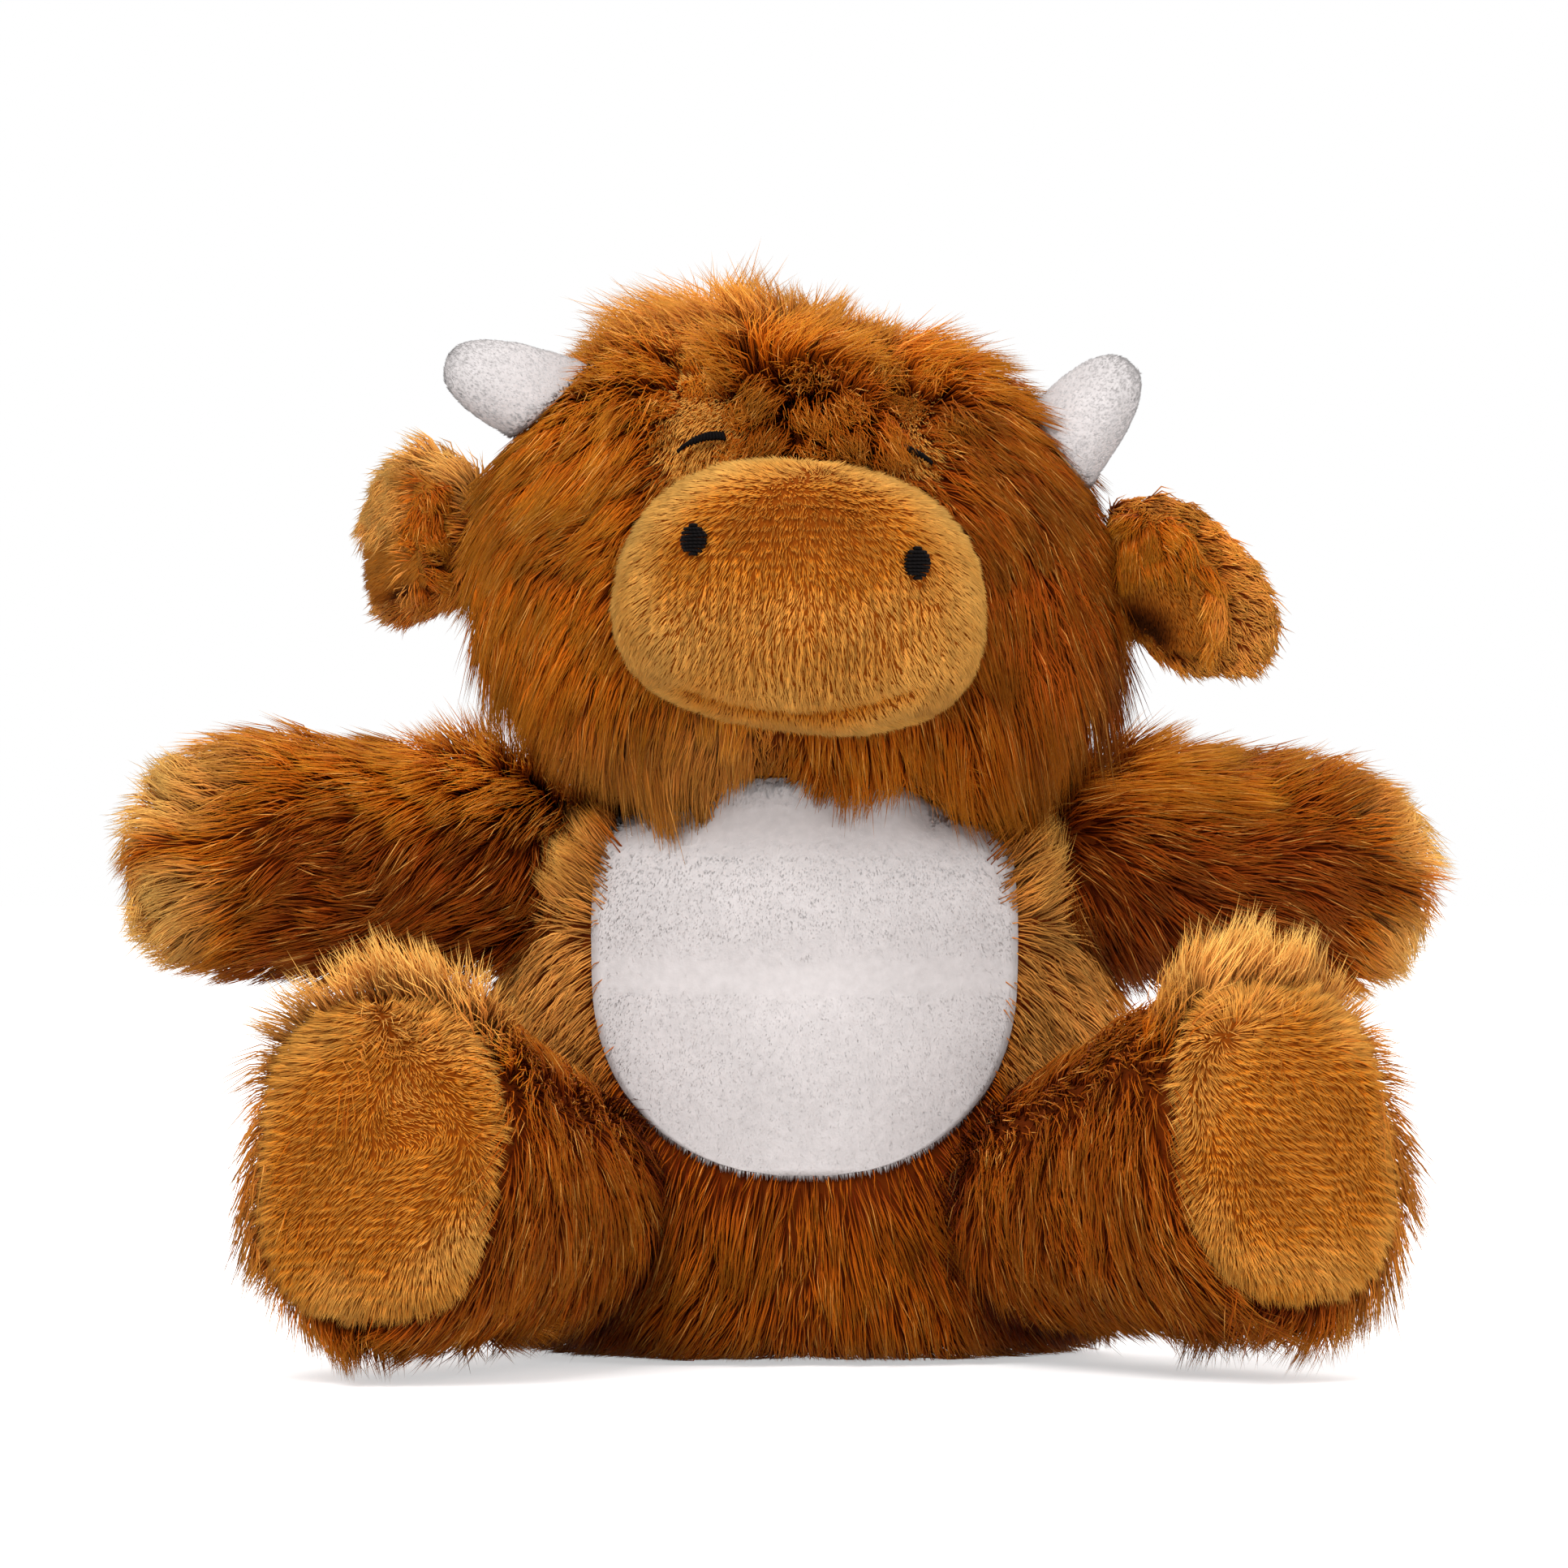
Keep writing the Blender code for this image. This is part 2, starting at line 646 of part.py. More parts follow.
def ear_mesh(name, side, thickness, offset, start_share, size_share):
    """A cupped leaf that faces -Y. Its rings run round its section, from the seam to the tip."""
    middle, turn = ear_frame(side)
    sign = -1 if (turn @ Vector((1, 0, 0))).y > 0 else 1
    half = thickness / 2
    start = EAR_LENGTH * start_share
    reach = EAR_LENGTH * size_share - start

    def leaf(share, v, lift):
        swell = math.sin(math.pi / 2 * min(max(share, 0) / EAR_BROADEST_SHARE, 1))
        wide_share = EAR_ROOT_SHARE + (1 - EAR_ROOT_SHARE) * swell
        round_share = math.sqrt(1 - max(share, 0) ** 4)
        y = v * EAR_WIDTH / 2 * size_share * wide_share * round_share
        along = start + share * reach
        whole_share = max(along, 0) / EAR_LENGTH
        bow = EAR_CUP * (2 * y / EAR_WIDTH) ** 2 * whole_share - EAR_DROOP * whole_share**2
        fall = EAR_SAG_SHARES[side] * EAR_LENGTH * whole_share**1.5
        return middle + turn @ Vector((sign * (bow + lift + offset), y - fall, along))

    rows = [(-half * math.cos(angle) / reach, half * math.sin(angle)) for angle in EAR_SEAM_ANGLES]
    shares = [math.sin(math.pi / 2 * k / EAR_RINGS) for k in range(EAR_RINGS)]
    rows += [(share, half * math.sqrt(1 - EAR_THINNING_SHARE * share**2)) for share in shares]
    places = [2 * k / EAR_ACROSS - 1 for k in range(EAR_ACROSS + 1)]
    rings = []
    for share, lift in rows:
        front = [leaf(share, v, lift * (1 - EAR_EDGE_SHARE * v**2)) for v in places]
        back = [leaf(share, -v, -lift * (1 - EAR_EDGE_SHARE * v**2)) for v in places]
        rings.append(front + back)
    return closed_mesh(name, rings, leaf(-half / reach, 0, 0), leaf(1, 0, 0))


def build_ears(plush, short):
    thin = EAR_LINING_THICKNESS
    offset = (EAR_THICKNESS + thin) / 2 + SEAM_GAP
    for side in SIDES:
        middle, _ = ear_frame(side)
        name = f"ear_{side}_back"
        add_object(name, ear_mesh(name, side, EAR_THICKNESS, 0, 0, 1), plush, middle)
        name = f"ear_{side}_lining"
        lining = ear_mesh(name, side, thin, offset, EAR_LINING_START_SHARE, EAR_LINING_SHARE)
        add_object(name, lining, short, middle)


def root_opening(name, limb):
    """A short round prism through the wall of the limb's ball, where its filling meets the body's."""
    radius = limb.ball * LIMB_OPENING_SHARE
    outline = oval(radius, radius, radius, 2, SMALL_AROUND)
    start = limb.place(0, 0, -limb.ball - CUT_OVERRUN)
    return add_prism(name, outline, limb.turn, start, limb.place(0, 0, 0))


def build_arms(plush, fibre):
    for side in SIDES:
        limb = arm(side)
        name = f"arm_{side}"
        inside = add_object(f"{name}_inside", limb.mesh(f"{name}_inside", -LONG_PILE_WALL, INNER_AROUND))
        cover = add_object(f"{name}_cover", limb.mesh(f"{name}_cover", 0, ARM_AROUND), plush, limb.pivot)
        cut(cover, inside, root_opening(f"{name}_opening", limb))
        filling = limb.mesh(f"{name}_filling", -LONG_PILE_WALL - FILLING_GAP, INNER_AROUND)
        add_object(f"{name}_filling", filling, fibre, limb.pivot)


def pad_outline(grow):
    high = PAD_HEIGHT / 2 + grow
    return oval(PAD_WIDTH / 2 + grow, high, high, PAD_FULLNESS, PAD_AROUND)


def add_pad(name, limb, material):
    """The sole: a crowned panel with a full oval outline, set into the open end of the foot."""
    outline = pad_outline(0)
    rings = [[limb.place(x, y, LEG_LENGTH - SHORT_PILE_WALL) for x, y in outline]]
    for angle in PAD_CROWN_ANGLES:
        share = math.cos(angle)
        along = LEG_LENGTH + PAD_CROWN * math.sin(angle)
        rings.append([limb.place(x * share, y * share, along) for x, y in outline])
    first = limb.place(0, 0, LEG_LENGTH - SHORT_PILE_WALL)
    last = limb.place(0, 0, LEG_LENGTH + PAD_CROWN)
    return add_object(name, closed_mesh(name, rings, first, last), material, limb.pivot)


def build_legs(plush, short, fibre):
    for side in SIDES:
        limb = leg(side)
        name = f"leg_{side}"
        inside = add_object(f"{name}_inside", limb.mesh(f"{name}_inside", -LONG_PILE_WALL, INNER_AROUND))
        inner = limb.place(0, 0, LEG_LENGTH - LONG_PILE_WALL - CUT_OVERRUN)
        outer = limb.place(0, 0, LEG_LENGTH + CUT_OVERRUN)
        sole = add_prism(f"{name}_sole_opening", pad_outline(SEAM_GAP), limb.turn, inner, outer)
        cover = add_object(f"{name}_cover", limb.mesh(f"{name}_cover", 0, AROUND), plush, limb.pivot)
        cut(cover, inside, root_opening(f"{name}_opening", limb), sole)
        filling = limb.mesh(f"{name}_filling", -LONG_PILE_WALL - FILLING_GAP, INNER_AROUND)
        add_object(f"{name}_filling", filling, fibre, limb.pivot)
        add_pad(f"foot_pad_{side}", limb, short)


def build_tail(short, plush):
    root = tail_root()
    down = Vector((0, math.sin(TAIL_LEAN), -math.cos(TAIL_LEAN)))
    out = Vector((0, 1, 0))
    radius = TAIL_THICKNESS / 2
    pivot = root + out * (radius + SEAM_GAP)
    turn = axes_along(-down, out)
    half = TAIL_LENGTH / 2
    middle = pivot + down * (half - radius)
    cord = Form(middle, radius, radius, half, half, TAIL_FULLNESS, TAIL_FULLNESS, turn)
    add_form("tail_cord", cord, 0, short, pivot, SMALL_RINGS, SMALL_AROUND)
    wide = TAIL_TUFT_THICKNESS / 2
    reach = TAIL_TUFT_LENGTH / 2
    middle += down * (half + SEAM_GAP + reach)
    tuft = Form(middle, wide, wide, reach, reach, 2, 2, turn)
    add_form("tail_tuft", tuft, 0, plush, pivot, SMALL_RINGS, SMALL_AROUND)


def main():
    clear_scene()
    plush = make_material("long_pile_plush", (168, 96, 30), 0.9)
    short = make_material("short_pile_plush", (190, 122, 48), 0.85)
    white = make_material("white_plush", (230, 224, 222), 0.9)
    thread = make_material("black_thread", (14, 10, 10), 0.45)
    fibre = make_material("fibre_filling", (238, 236, 230), 0.95)
    bean = make_material("bean_pouch_cloth", (205, 200, 190), 0.9)
    build_body(plush, white, fibre, bean)
    build_neck(fibre)
    build_head(plush, fibre)
    build_muzzle(short, fibre, thread)
    build_eyes(thread)
    build_horns(white, fibre)
    build_ears(plush, short)
    build_arms(plush, fibre)
    build_legs(plush, short, fibre)
    build_tail(short, plush)


main()
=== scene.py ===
"""The looks of a seated plush highland cow: stuffed covers, long and short pile, embroidery and a stage."""

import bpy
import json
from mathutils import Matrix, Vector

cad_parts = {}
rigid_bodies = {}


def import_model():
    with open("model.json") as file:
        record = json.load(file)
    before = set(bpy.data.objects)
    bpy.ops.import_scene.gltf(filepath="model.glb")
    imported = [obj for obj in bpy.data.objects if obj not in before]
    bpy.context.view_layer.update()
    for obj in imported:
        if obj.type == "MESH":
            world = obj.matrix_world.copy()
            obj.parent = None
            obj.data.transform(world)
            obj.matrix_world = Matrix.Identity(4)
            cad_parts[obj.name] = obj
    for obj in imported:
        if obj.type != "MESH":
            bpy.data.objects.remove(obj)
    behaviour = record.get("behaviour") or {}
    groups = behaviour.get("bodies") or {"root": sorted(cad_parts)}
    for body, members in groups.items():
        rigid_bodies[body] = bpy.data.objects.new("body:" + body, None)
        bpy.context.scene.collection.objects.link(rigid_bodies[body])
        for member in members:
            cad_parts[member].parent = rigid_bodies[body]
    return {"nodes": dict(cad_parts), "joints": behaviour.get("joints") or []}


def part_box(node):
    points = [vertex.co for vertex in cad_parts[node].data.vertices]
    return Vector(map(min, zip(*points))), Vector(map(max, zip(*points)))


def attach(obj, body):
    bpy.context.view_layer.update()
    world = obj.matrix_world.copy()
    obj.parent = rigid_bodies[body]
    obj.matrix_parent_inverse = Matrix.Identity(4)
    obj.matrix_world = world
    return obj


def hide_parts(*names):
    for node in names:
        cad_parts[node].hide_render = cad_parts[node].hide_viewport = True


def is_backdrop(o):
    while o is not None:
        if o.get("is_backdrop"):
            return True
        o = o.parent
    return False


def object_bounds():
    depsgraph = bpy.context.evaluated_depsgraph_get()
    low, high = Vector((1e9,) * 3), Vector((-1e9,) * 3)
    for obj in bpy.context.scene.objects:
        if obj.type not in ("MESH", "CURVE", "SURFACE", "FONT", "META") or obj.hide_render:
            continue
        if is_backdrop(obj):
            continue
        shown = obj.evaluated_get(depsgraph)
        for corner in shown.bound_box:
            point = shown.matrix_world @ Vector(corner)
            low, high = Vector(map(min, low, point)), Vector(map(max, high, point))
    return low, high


bl_info = {
    "name": "Plush highland cow",
    "version": (1, 0, 0),
    "blender": (4, 5, 0),
    "location": "View3D > Sidebar > Plush cow",
    "description": "Stuffed covers, pile and embroidery for a seated plush highland cow",
    "category": "Object",
}

import json
import math

import bmesh
import bpy
import numpy as np
from bpy.props import FloatProperty, FloatVectorProperty, IntProperty, PointerProperty
from bpy.types import Operator, Panel, PropertyGroup
from mathutils import Vector, noise
from mathutils.bvhtree import BVHTree

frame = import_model()
CAD_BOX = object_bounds()

SIDES = {"left": -1, "right": 1}
JOINTS = {joint["name"]: np.array(joint["pos_m"]) for joint in frame["joints"]}


def srgb(red, green, blue):
    """An sRGB colour of 0 to 255 as a linear one."""
    shares = (red / 255, green / 255, blue / 255)
    return tuple(((c + 0.055) / 1.055) ** 2.4 if c > 0.04 else c / 12.92 for c in shares)


def colour_property(name, description, colour):
    return FloatVectorProperty(
        name=name, description=description, default=srgb(*colour), subtype="COLOR", size=3, min=0, max=1
    )


def length_property(name, description, default):
    return FloatProperty(
        name=name, description=description, default=default, unit="LENGTH", min=0, precision=5
    )


class CowPileSettings(PropertyGroup):
    long_pile: length_property("Long pile", "Length of the shaggy pile", 0.0100)
    long_width: length_property("Long fibre width", "Width of a fibre of the shaggy pile", 0.00020)
    short_pile: length_property("Short pile", "Length of the pile of muzzle, ears and soles", 0.0019)
    short_width: length_property("Short fibre width", "Width of a tuft of the short pile", 0.00025)
    white_pile: length_property("White pile", "Length of the pile of the belly and the horns", 0.0012)
    lock_size: length_property("Lock spacing", "Distance between the locks of the shaggy pile", 0.0031)
    sink: length_property("Pile backing", "Depth of the long pile's backing in the cover", 0.0018)
    seed: IntProperty(name="Seed", description="Seed of everything random", default=7, min=0)


class CowColourSettings(PropertyGroup):
    root: colour_property("Long pile root", "Colour of the shaggy pile at its root", (112, 36, 5))
    middle: colour_property("Long pile", "Colour of the shaggy pile", (182, 90, 10))
    tip: colour_property("Long pile tip", "Colour of the shaggy pile at its tip", (216, 138, 36))
    pale: colour_property("Pale tip", "Colour of the tips where the pile is pale", (240, 182, 94))
    short_root: colour_property("Short pile root", "Colour of the short pile at its root", (142, 68, 8))
    short_middle: colour_property("Short pile", "Colour of the short pile", (208, 118, 20))
    short_tip: colour_property("Short pile tip", "Colour of the short pile at its tip", (224, 156, 64))
    white: colour_property("White pile", "Colour of the belly patch and the horns", (214, 208, 207))
    thread: colour_property("Embroidery", "Colour of the embroidery thread", (10, 7, 7))
    fibre: colour_property("Filling", "Colour of the stuffing", (236, 234, 228))
    floor: colour_property("Floor", "Colour of the floor", (246, 246, 246))


def pile_sizes():
    return bpy.context.scene.plush_cow_pile


def colours():
    return bpy.context.scene.plush_cow_colours


class NodeWriter:
    """Writes a node tree as values that come from one another."""

    def __init__(self, tree):
        self.tree = tree

    def plug(self, value, socket):
        if isinstance(value, bpy.types.NodeSocket):
            self.tree.links.new(value, socket)
        elif value is not None:
            socket.default_value = value

    def add(self, kind, inputs=(), output=0, **settings):
        """A node with its settings and inputs, by name or number. It gives the output's socket."""
        node = self.tree.nodes.new(kind)
        for name, value in settings.items():
            setattr(node, name, value)
        for key, value in dict(inputs).items():
            if isinstance(key, str):
                key = next(i for i, s in enumerate(node.inputs) if s.name == key and s.enabled)
            self.plug(value, node.inputs[key])
        return node.outputs[output]

    def math(self, operation, a, b=None, c=None):
        return self.add("ShaderNodeMath", {0: a, 1: b, 2: c}, operation=operation)

    def times(self, a, b):
        return self.math("MULTIPLY", a, b)

    def times_plus(self, a, b, c):
        return self.math("MULTIPLY_ADD", a, b, c)

    def vector(self, operation, a, b=None):
        output = 1 if operation in ("DOT_PRODUCT", "LENGTH", "DISTANCE") else 0
        return self.add("ShaderNodeVectorMath", {0: a, 1: b}, output, operation=operation)

    def sum(self, a, b):
        return self.vector("ADD", a, b)

    def scaled(self, a, factor):
        return self.add("ShaderNodeVectorMath", {0: a, "Scale": factor}, operation="SCALE")

    def parts(self, vector):
        return self.add("ShaderNodeSeparateXYZ", {0: vector}).node.outputs

    def blended(self, a, b, factor):
        return self.add("ShaderNodeMix", {0: factor, 4: a, 5: b}, 1, data_type="VECTOR")

    def mixed(self, a, b, factor):
        return self.add("ShaderNodeMix", {0: factor, 6: a, 7: b}, 2, data_type="RGBA", blend_type="MIX")

    def ramp(self, value, low, high, to_low=0.0, to_high=1.0):
        values = {0: value, 1: low, 2: high, 3: to_low, 4: to_high}
        return self.add("ShaderNodeMapRange", values, interpolation_type="SMOOTHSTEP")

    def random(self, low, high, seed):
        """A random number of its own for each point."""
        return self.add("FunctionNodeRandomValue", {2: low, 3: high, "Seed": seed}, 1, data_type="FLOAT")

    def random_vector(self, seed):
        values = {0: (-1.0,) * 3, 1: (1.0,) * 3, "Seed": seed}
        return self.add("FunctionNodeRandomValue", values, data_type="FLOAT_VECTOR")

    def bump(self, height, strength, distance, inputs):
        """Gives a shader's inputs a normal from a height."""
        values = {"Strength": strength, "Distance": distance, "Height": height}
        self.plug(self.add("ShaderNodeBump", values), inputs["Normal"])

    def named(self, name, kind="FLOAT"):
        return self.add("GeometryNodeInputNamedAttribute", {"Name": name}, data_type=kind)

    def named_vectors(self, *names):
        return [self.named(name, "FLOAT_VECTOR") for name in names]

    def store(self, geometry, name, value, kind="FLOAT_VECTOR"):
        values = {"Geometry": geometry, "Name": name, "Value": value}
        return self.add("GeometryNodeStoreNamedAttribute", values, data_type=kind, domain="POINT")

    def repeated(self, points, thing):
        """A copy of the object at each point, as real mesh."""
        thing = self.add("GeometryNodeObjectInfo", {"Object": thing}, 4, transform_space="ORIGINAL")
        copies = self.add("GeometryNodeInstanceOnPoints", {"Points": points, "Instance": thing})
        return self.add("GeometryNodeRealizeInstances", {"Geometry": copies})

    def finish(self, mesh, unwanted, material, socket):
        """Drops the attributes that only built the mesh, and gives it its material."""
        for name in unwanted.split():
            mesh = self.add("GeometryNodeRemoveAttribute", {"Geometry": mesh, "Name": name})
        mesh = self.add("GeometryNodeSetShadeSmooth", {"Geometry": mesh})
        self.plug(self.add("GeometryNodeSetMaterial", {"Geometry": mesh, "Material": material}), socket)


SOCKET_KINDS = {float: "Float", int: "Int", tuple: "Color"}


def title(key):
    """A value's name as a socket shows it."""
    return key.replace("_", " ").title()


def new_tree(name, kind, output, output_kind, **inputs):
    """A node group with one output, and inputs given by their default value or their kind of socket.

    Gives the tree, a writer for it, its inputs by name and the output's socket.
    """
    tree = bpy.data.node_groups.new(name, kind)
    for key, value in inputs.items():
        socket = value if isinstance(value, str) else SOCKET_KINDS[type(value)]
        made = tree.interface.new_socket(title(key), in_out="INPUT", socket_type="NodeSocket" + socket)
        if not isinstance(value, str):
            made.default_value = value
    tree.interface.new_socket(output, in_out="OUTPUT", socket_type="NodeSocket" + output_kind)
    source = tree.nodes.new("NodeGroupInput")
    sink = tree.nodes.new("NodeGroupOutput")
    return tree, NodeWriter(tree), dict(zip(inputs, source.outputs)), sink.inputs[0]


def pile_tree():
    """Pile on a skin that holds comb, lift, length_share and density_share."""
    if "Pile" in bpy.data.node_groups:
        return bpy.data.node_groups["Pile"]
    tree, w, get, sink = new_tree(
        "Pile", "GeometryNodeTree", "Pile", "Geometry",
        skin="Geometry", strand="Object", material="Material", density=1e6, length=0.01, width=0.0003,
        spread=0.15, lock_spread=0.3, bend=0.4, fall=0.1, lock_size=0.003, lock_pull=0.6, wave=0.0004,
        row_pitch=0.0012, row_lift=0.0, lowest=0.0003, seed=1,
    )

    def shaped(scatter, offset, spread):
        """The points with their root, bend, tip and tone stored."""
        seed = w.math("ADD", get["seed"], float(offset))
        points, normal = scatter.outputs[0], scatter.outputs[1]
        root = w.add("GeometryNodeInputPosition")
        comb = w.named("comb", "FLOAT_VECTOR")
        sway = w.add("ShaderNodeTexNoise", {"Vector": root, "Scale": 160.0, "Detail": 1.0})
        turns = w.parts(w.scaled(root, w.math("DIVIDE", math.tau, get["row_pitch"])))
        waves = [w.math("SINE", w.times_plus(sway, 9.0, turns[i])) for i in (0, 2)]
        ridge = w.times(waves[0], w.named("ribs"))
        ridge = w.times_plus(waves[1], w.named("rows"), ridge)
        lift = w.times_plus(ridge, get["row_lift"], w.named("lift"))
        stray = w.scaled(w.random_vector(seed), spread)
        raised = w.sum(w.scaled(normal, w.math("SINE", lift)), w.scaled(comb, w.math("COSINE", lift)))
        start = w.vector("NORMALIZE", w.sum(raised, stray))
        share = w.times(w.named("length_share"), w.random(0.65, 1.15, w.math("ADD", seed, 1.0)))
        length = w.times(get["length"], share)
        hang = w.add("ShaderNodeCombineXYZ", {2: w.times(get["fall"], -1.0)})
        bent = w.times(get["bend"], w.math("COSINE", lift))
        end = w.sum(w.blended(start, comb, bent), hang)
        bend = w.sum(root, w.scaled(start, w.times(length, 0.5)))
        tip = w.sum(root, w.scaled(end, length))
        sunk = w.sum(root, w.scaled(normal, w.times(get["width"], -1.0)))
        for name, value in (("bend", bend), ("tip", tip), ("base", sunk), ("nap", normal)):
            points = w.store(points, name, value)
        points = w.store(points, "ridge", ridge, "FLOAT")
        return w.store(points, "tone", w.random(0.0, 1.0, w.math("ADD", seed, 2.0)), "FLOAT")

    def scattered(method, values):
        values = {"Mesh": get["skin"], "Seed": get["seed"], **values}
        return w.add("GeometryNodeDistributePointsOnFaces", values, distribute_method=method).node

    strands = scattered("RANDOM", {"Density": w.times(get["density"], w.named("density_share"))})
    locks = scattered("POISSON", {"Distance Min": get["lock_size"], "Density Max": 4e6})
    points = shaped(strands, 11, get["spread"])
    lock_points = shaped(locks, 31, get["lock_spread"])
    values = {"Geometry": lock_points, "Sample Position": w.add("GeometryNodeInputPosition")}
    near = w.add("GeometryNodeSampleNearest", values, domain="POINT")

    def of_lock(name, kind="FLOAT_VECTOR"):
        values = {"Geometry": lock_points, "Value": w.named(name, kind), "Index": near}
        return w.add("GeometryNodeSampleIndex", values, data_type=kind, domain="POINT")

    # Each strand leans towards the lock next to it, more so at its tip
    kept = w.ramp(w.random(0.0, 1.0, 17), 0.03, 0.08)
    pull = w.times(w.times(get["lock_pull"], kept), w.random(0.3, 1.0, 5))
    away = w.vector("SUBTRACT", w.named("base", "FLOAT_VECTOR"), of_lock("base"))
    own_bend = w.named("bend", "FLOAT_VECTOR")
    bend = w.blended(own_bend, w.sum(of_lock("bend"), away), w.times(pull, 0.6))
    close = w.sum(of_lock("tip"), w.scaled(away, 0.22))
    tip = w.blended(w.named("tip", "FLOAT_VECTOR"), close, pull)
    points = w.store(points, "lock", of_lock("tone", "FLOAT"), "FLOAT")
    for name, value in (("pulled_bend", bend), ("pulled_tip", tip), ("roll", w.random_vector(9))):
        points = w.store(points, name, value)
    mesh = w.repeated(points, get["strand"])

    # The strand is laid along a curve from its base over its bend to its tip
    along = w.named("along")
    back = w.math("SUBTRACT", 1.0, along)
    base, middle, end = w.named_vectors("base", "pulled_bend", "pulled_tip")
    both = w.times(w.times(along, back), 2.0)
    line = w.sum(w.scaled(base, w.times(back, back)), w.scaled(middle, both))
    line = w.sum(line, w.scaled(end, w.times(along, along)))
    first = w.scaled(w.vector("SUBTRACT", middle, base), back)
    heading = w.vector("NORMALIZE", w.sum(first, w.scaled(w.vector("SUBTRACT", end, middle), along)))
    side = w.vector("NORMALIZE", w.vector("CROSS_PRODUCT", heading, w.named("roll", "FLOAT_VECTOR")))
    up = w.vector("CROSS_PRODUCT", side, heading)
    cross = w.parts(w.named("cross", "FLOAT_VECTOR"))
    reach = w.times(get["width"], 0.5)
    phase = w.times_plus(w.named("tone"), 40.0, w.times(along, 5.0))
    swing = w.times(w.times(w.math("SINE", phase), along), get["wave"])
    sideways = w.times_plus(cross[0], reach, swing)
    upwards = w.times(cross[1], reach)
    line = w.parts(w.sum(line, w.sum(w.scaled(side, sideways), w.scaled(up, upwards))))
    height = w.math("MAXIMUM", line[2], get["lowest"])
    final = w.add("ShaderNodeCombineXYZ", {0: line[0], 1: line[1], 2: height})
    mesh = w.add("GeometryNodeSetPosition", {"Geometry": mesh, "Position": final})
    unwanted = "base bend tip pulled_bend pulled_tip roll cross comb lift rows ribs"
    w.finish(mesh, unwanted, get["material"], sink)
    return tree


def mesh_data(mesh, name):
    """The worked mesh as a data block."""
    data = bpy.data.meshes.new(name)
    mesh.to_mesh(data)
    mesh.free()
    return data


# Each kind of strand: its sides, and its rings as (share along, share of the width) before its point
STRANDS = {
    "long": (3, ((0.0, 1.0), (0.52, 0.85))),
    "short": (3, ((0.0, 1.0),)),
    "thread": (6, ((0.0, 0.5), (0.06, 1.0), (0.28, 1.0), (0.5, 1.0), (0.72, 1.0), (0.94, 1.0))),
}


def strand_object(kind):
    """One strand of its kind, upright and of unit length."""
    name = f"strand_{kind}"
    if name in bpy.data.objects:
        return bpy.data.objects[name]
    sides, rings = STRANDS[kind]
    mesh = bmesh.new()
    cross = mesh.verts.layers.float_vector.new("cross")
    along = mesh.verts.layers.float.new("along")
    across = mesh.verts.layers.float.new("across")
    rows = []
    for share, wide in rings:
        row = []
        for k in range(sides):
            angle = math.tau * k / sides
            place = wide * math.cos(angle), wide * math.sin(angle)
            vertex = mesh.verts.new((*place, share))
            vertex[cross] = (*place, 0)
            vertex[along] = share
            vertex[across] = k / sides
            row.append(vertex)
        rows.append(row)
    point = mesh.verts.new((0, 0, 1))
    point[along] = 1
    point[across] = 0.5
    mesh.faces.new(rows[0][::-1])
    for low, high in zip(rows, rows[1:]):
        for k in range(sides):
            after = (k + 1) % sides
            mesh.faces.new((low[k], low[after], high[after], high[k]))
    for k in range(sides):
        mesh.faces.new((rows[-1][k], rows[-1][(k + 1) % sides], point))
    return bpy.data.objects.new(name, mesh_data(mesh, name))


def link(name, data):
    piece = bpy.data.objects.new(name, data)
    bpy.context.scene.collection.objects.link(piece)
    return piece


def piece_named(name):
    if name not in bpy.data.objects:
        raise RuntimeError(f"{name} is missing: make the stuffed covers first")
    return bpy.data.objects[name]


def shaped_mesh(piece):
    """What a piece's modifiers make of it, as a new mesh."""
    graph = bpy.context.evaluated_depsgraph_get()
    return bpy.data.meshes.new_from_object(piece.evaluated_get(graph))


def settle(piece):
    """Turns what the modifiers make into the piece's own mesh."""
    made = shaped_mesh(piece)
    piece.modifiers.clear()
    piece.data = made


def points_of(piece):
    """The places and the normals of a piece's vertices."""
    mesh = piece.data
    places, normals = (np.empty(len(mesh.vertices) * 3, np.float32) for _ in range(2))
    mesh.vertices.foreach_get("co", places)
    mesh.vertex_normals.foreach_get("vector", normals)
    return places.reshape(-1, 3).astype(float), normals.reshape(-1, 3).astype(float)


def move_points(piece, places):
    piece.data.vertices.foreach_set("co", places.astype(np.float32).ravel())
    piece.data.update()


WELD = 1e-6


def form_of(name, nodes, round_them):
    """The closed outer form round CAD nodes, or a copy of their own form."""
    mesh = bmesh.new()
    for node in nodes:
        data = frame["nodes"][node].data
        if not round_them:
            mesh.from_mesh(data)
            continue
        for vertex in data.vertices:
            mesh.verts.new(vertex.co)
    bmesh.ops.remove_doubles(mesh, verts=mesh.verts, dist=WELD)
    if round_them:
        bmesh.ops.convex_hull(mesh, input=mesh.verts)
        loose = [vertex for vertex in mesh.verts if not vertex.link_faces]
        bmesh.ops.delete(mesh, geom=loose, context="VERTS")
        bmesh.ops.recalc_face_normals(mesh, faces=mesh.faces)
    return mesh_data(mesh, name)


PUFF_FRAMES = 14
PUFF_PRESSURE = 4
PUFF_QUALITY = 3


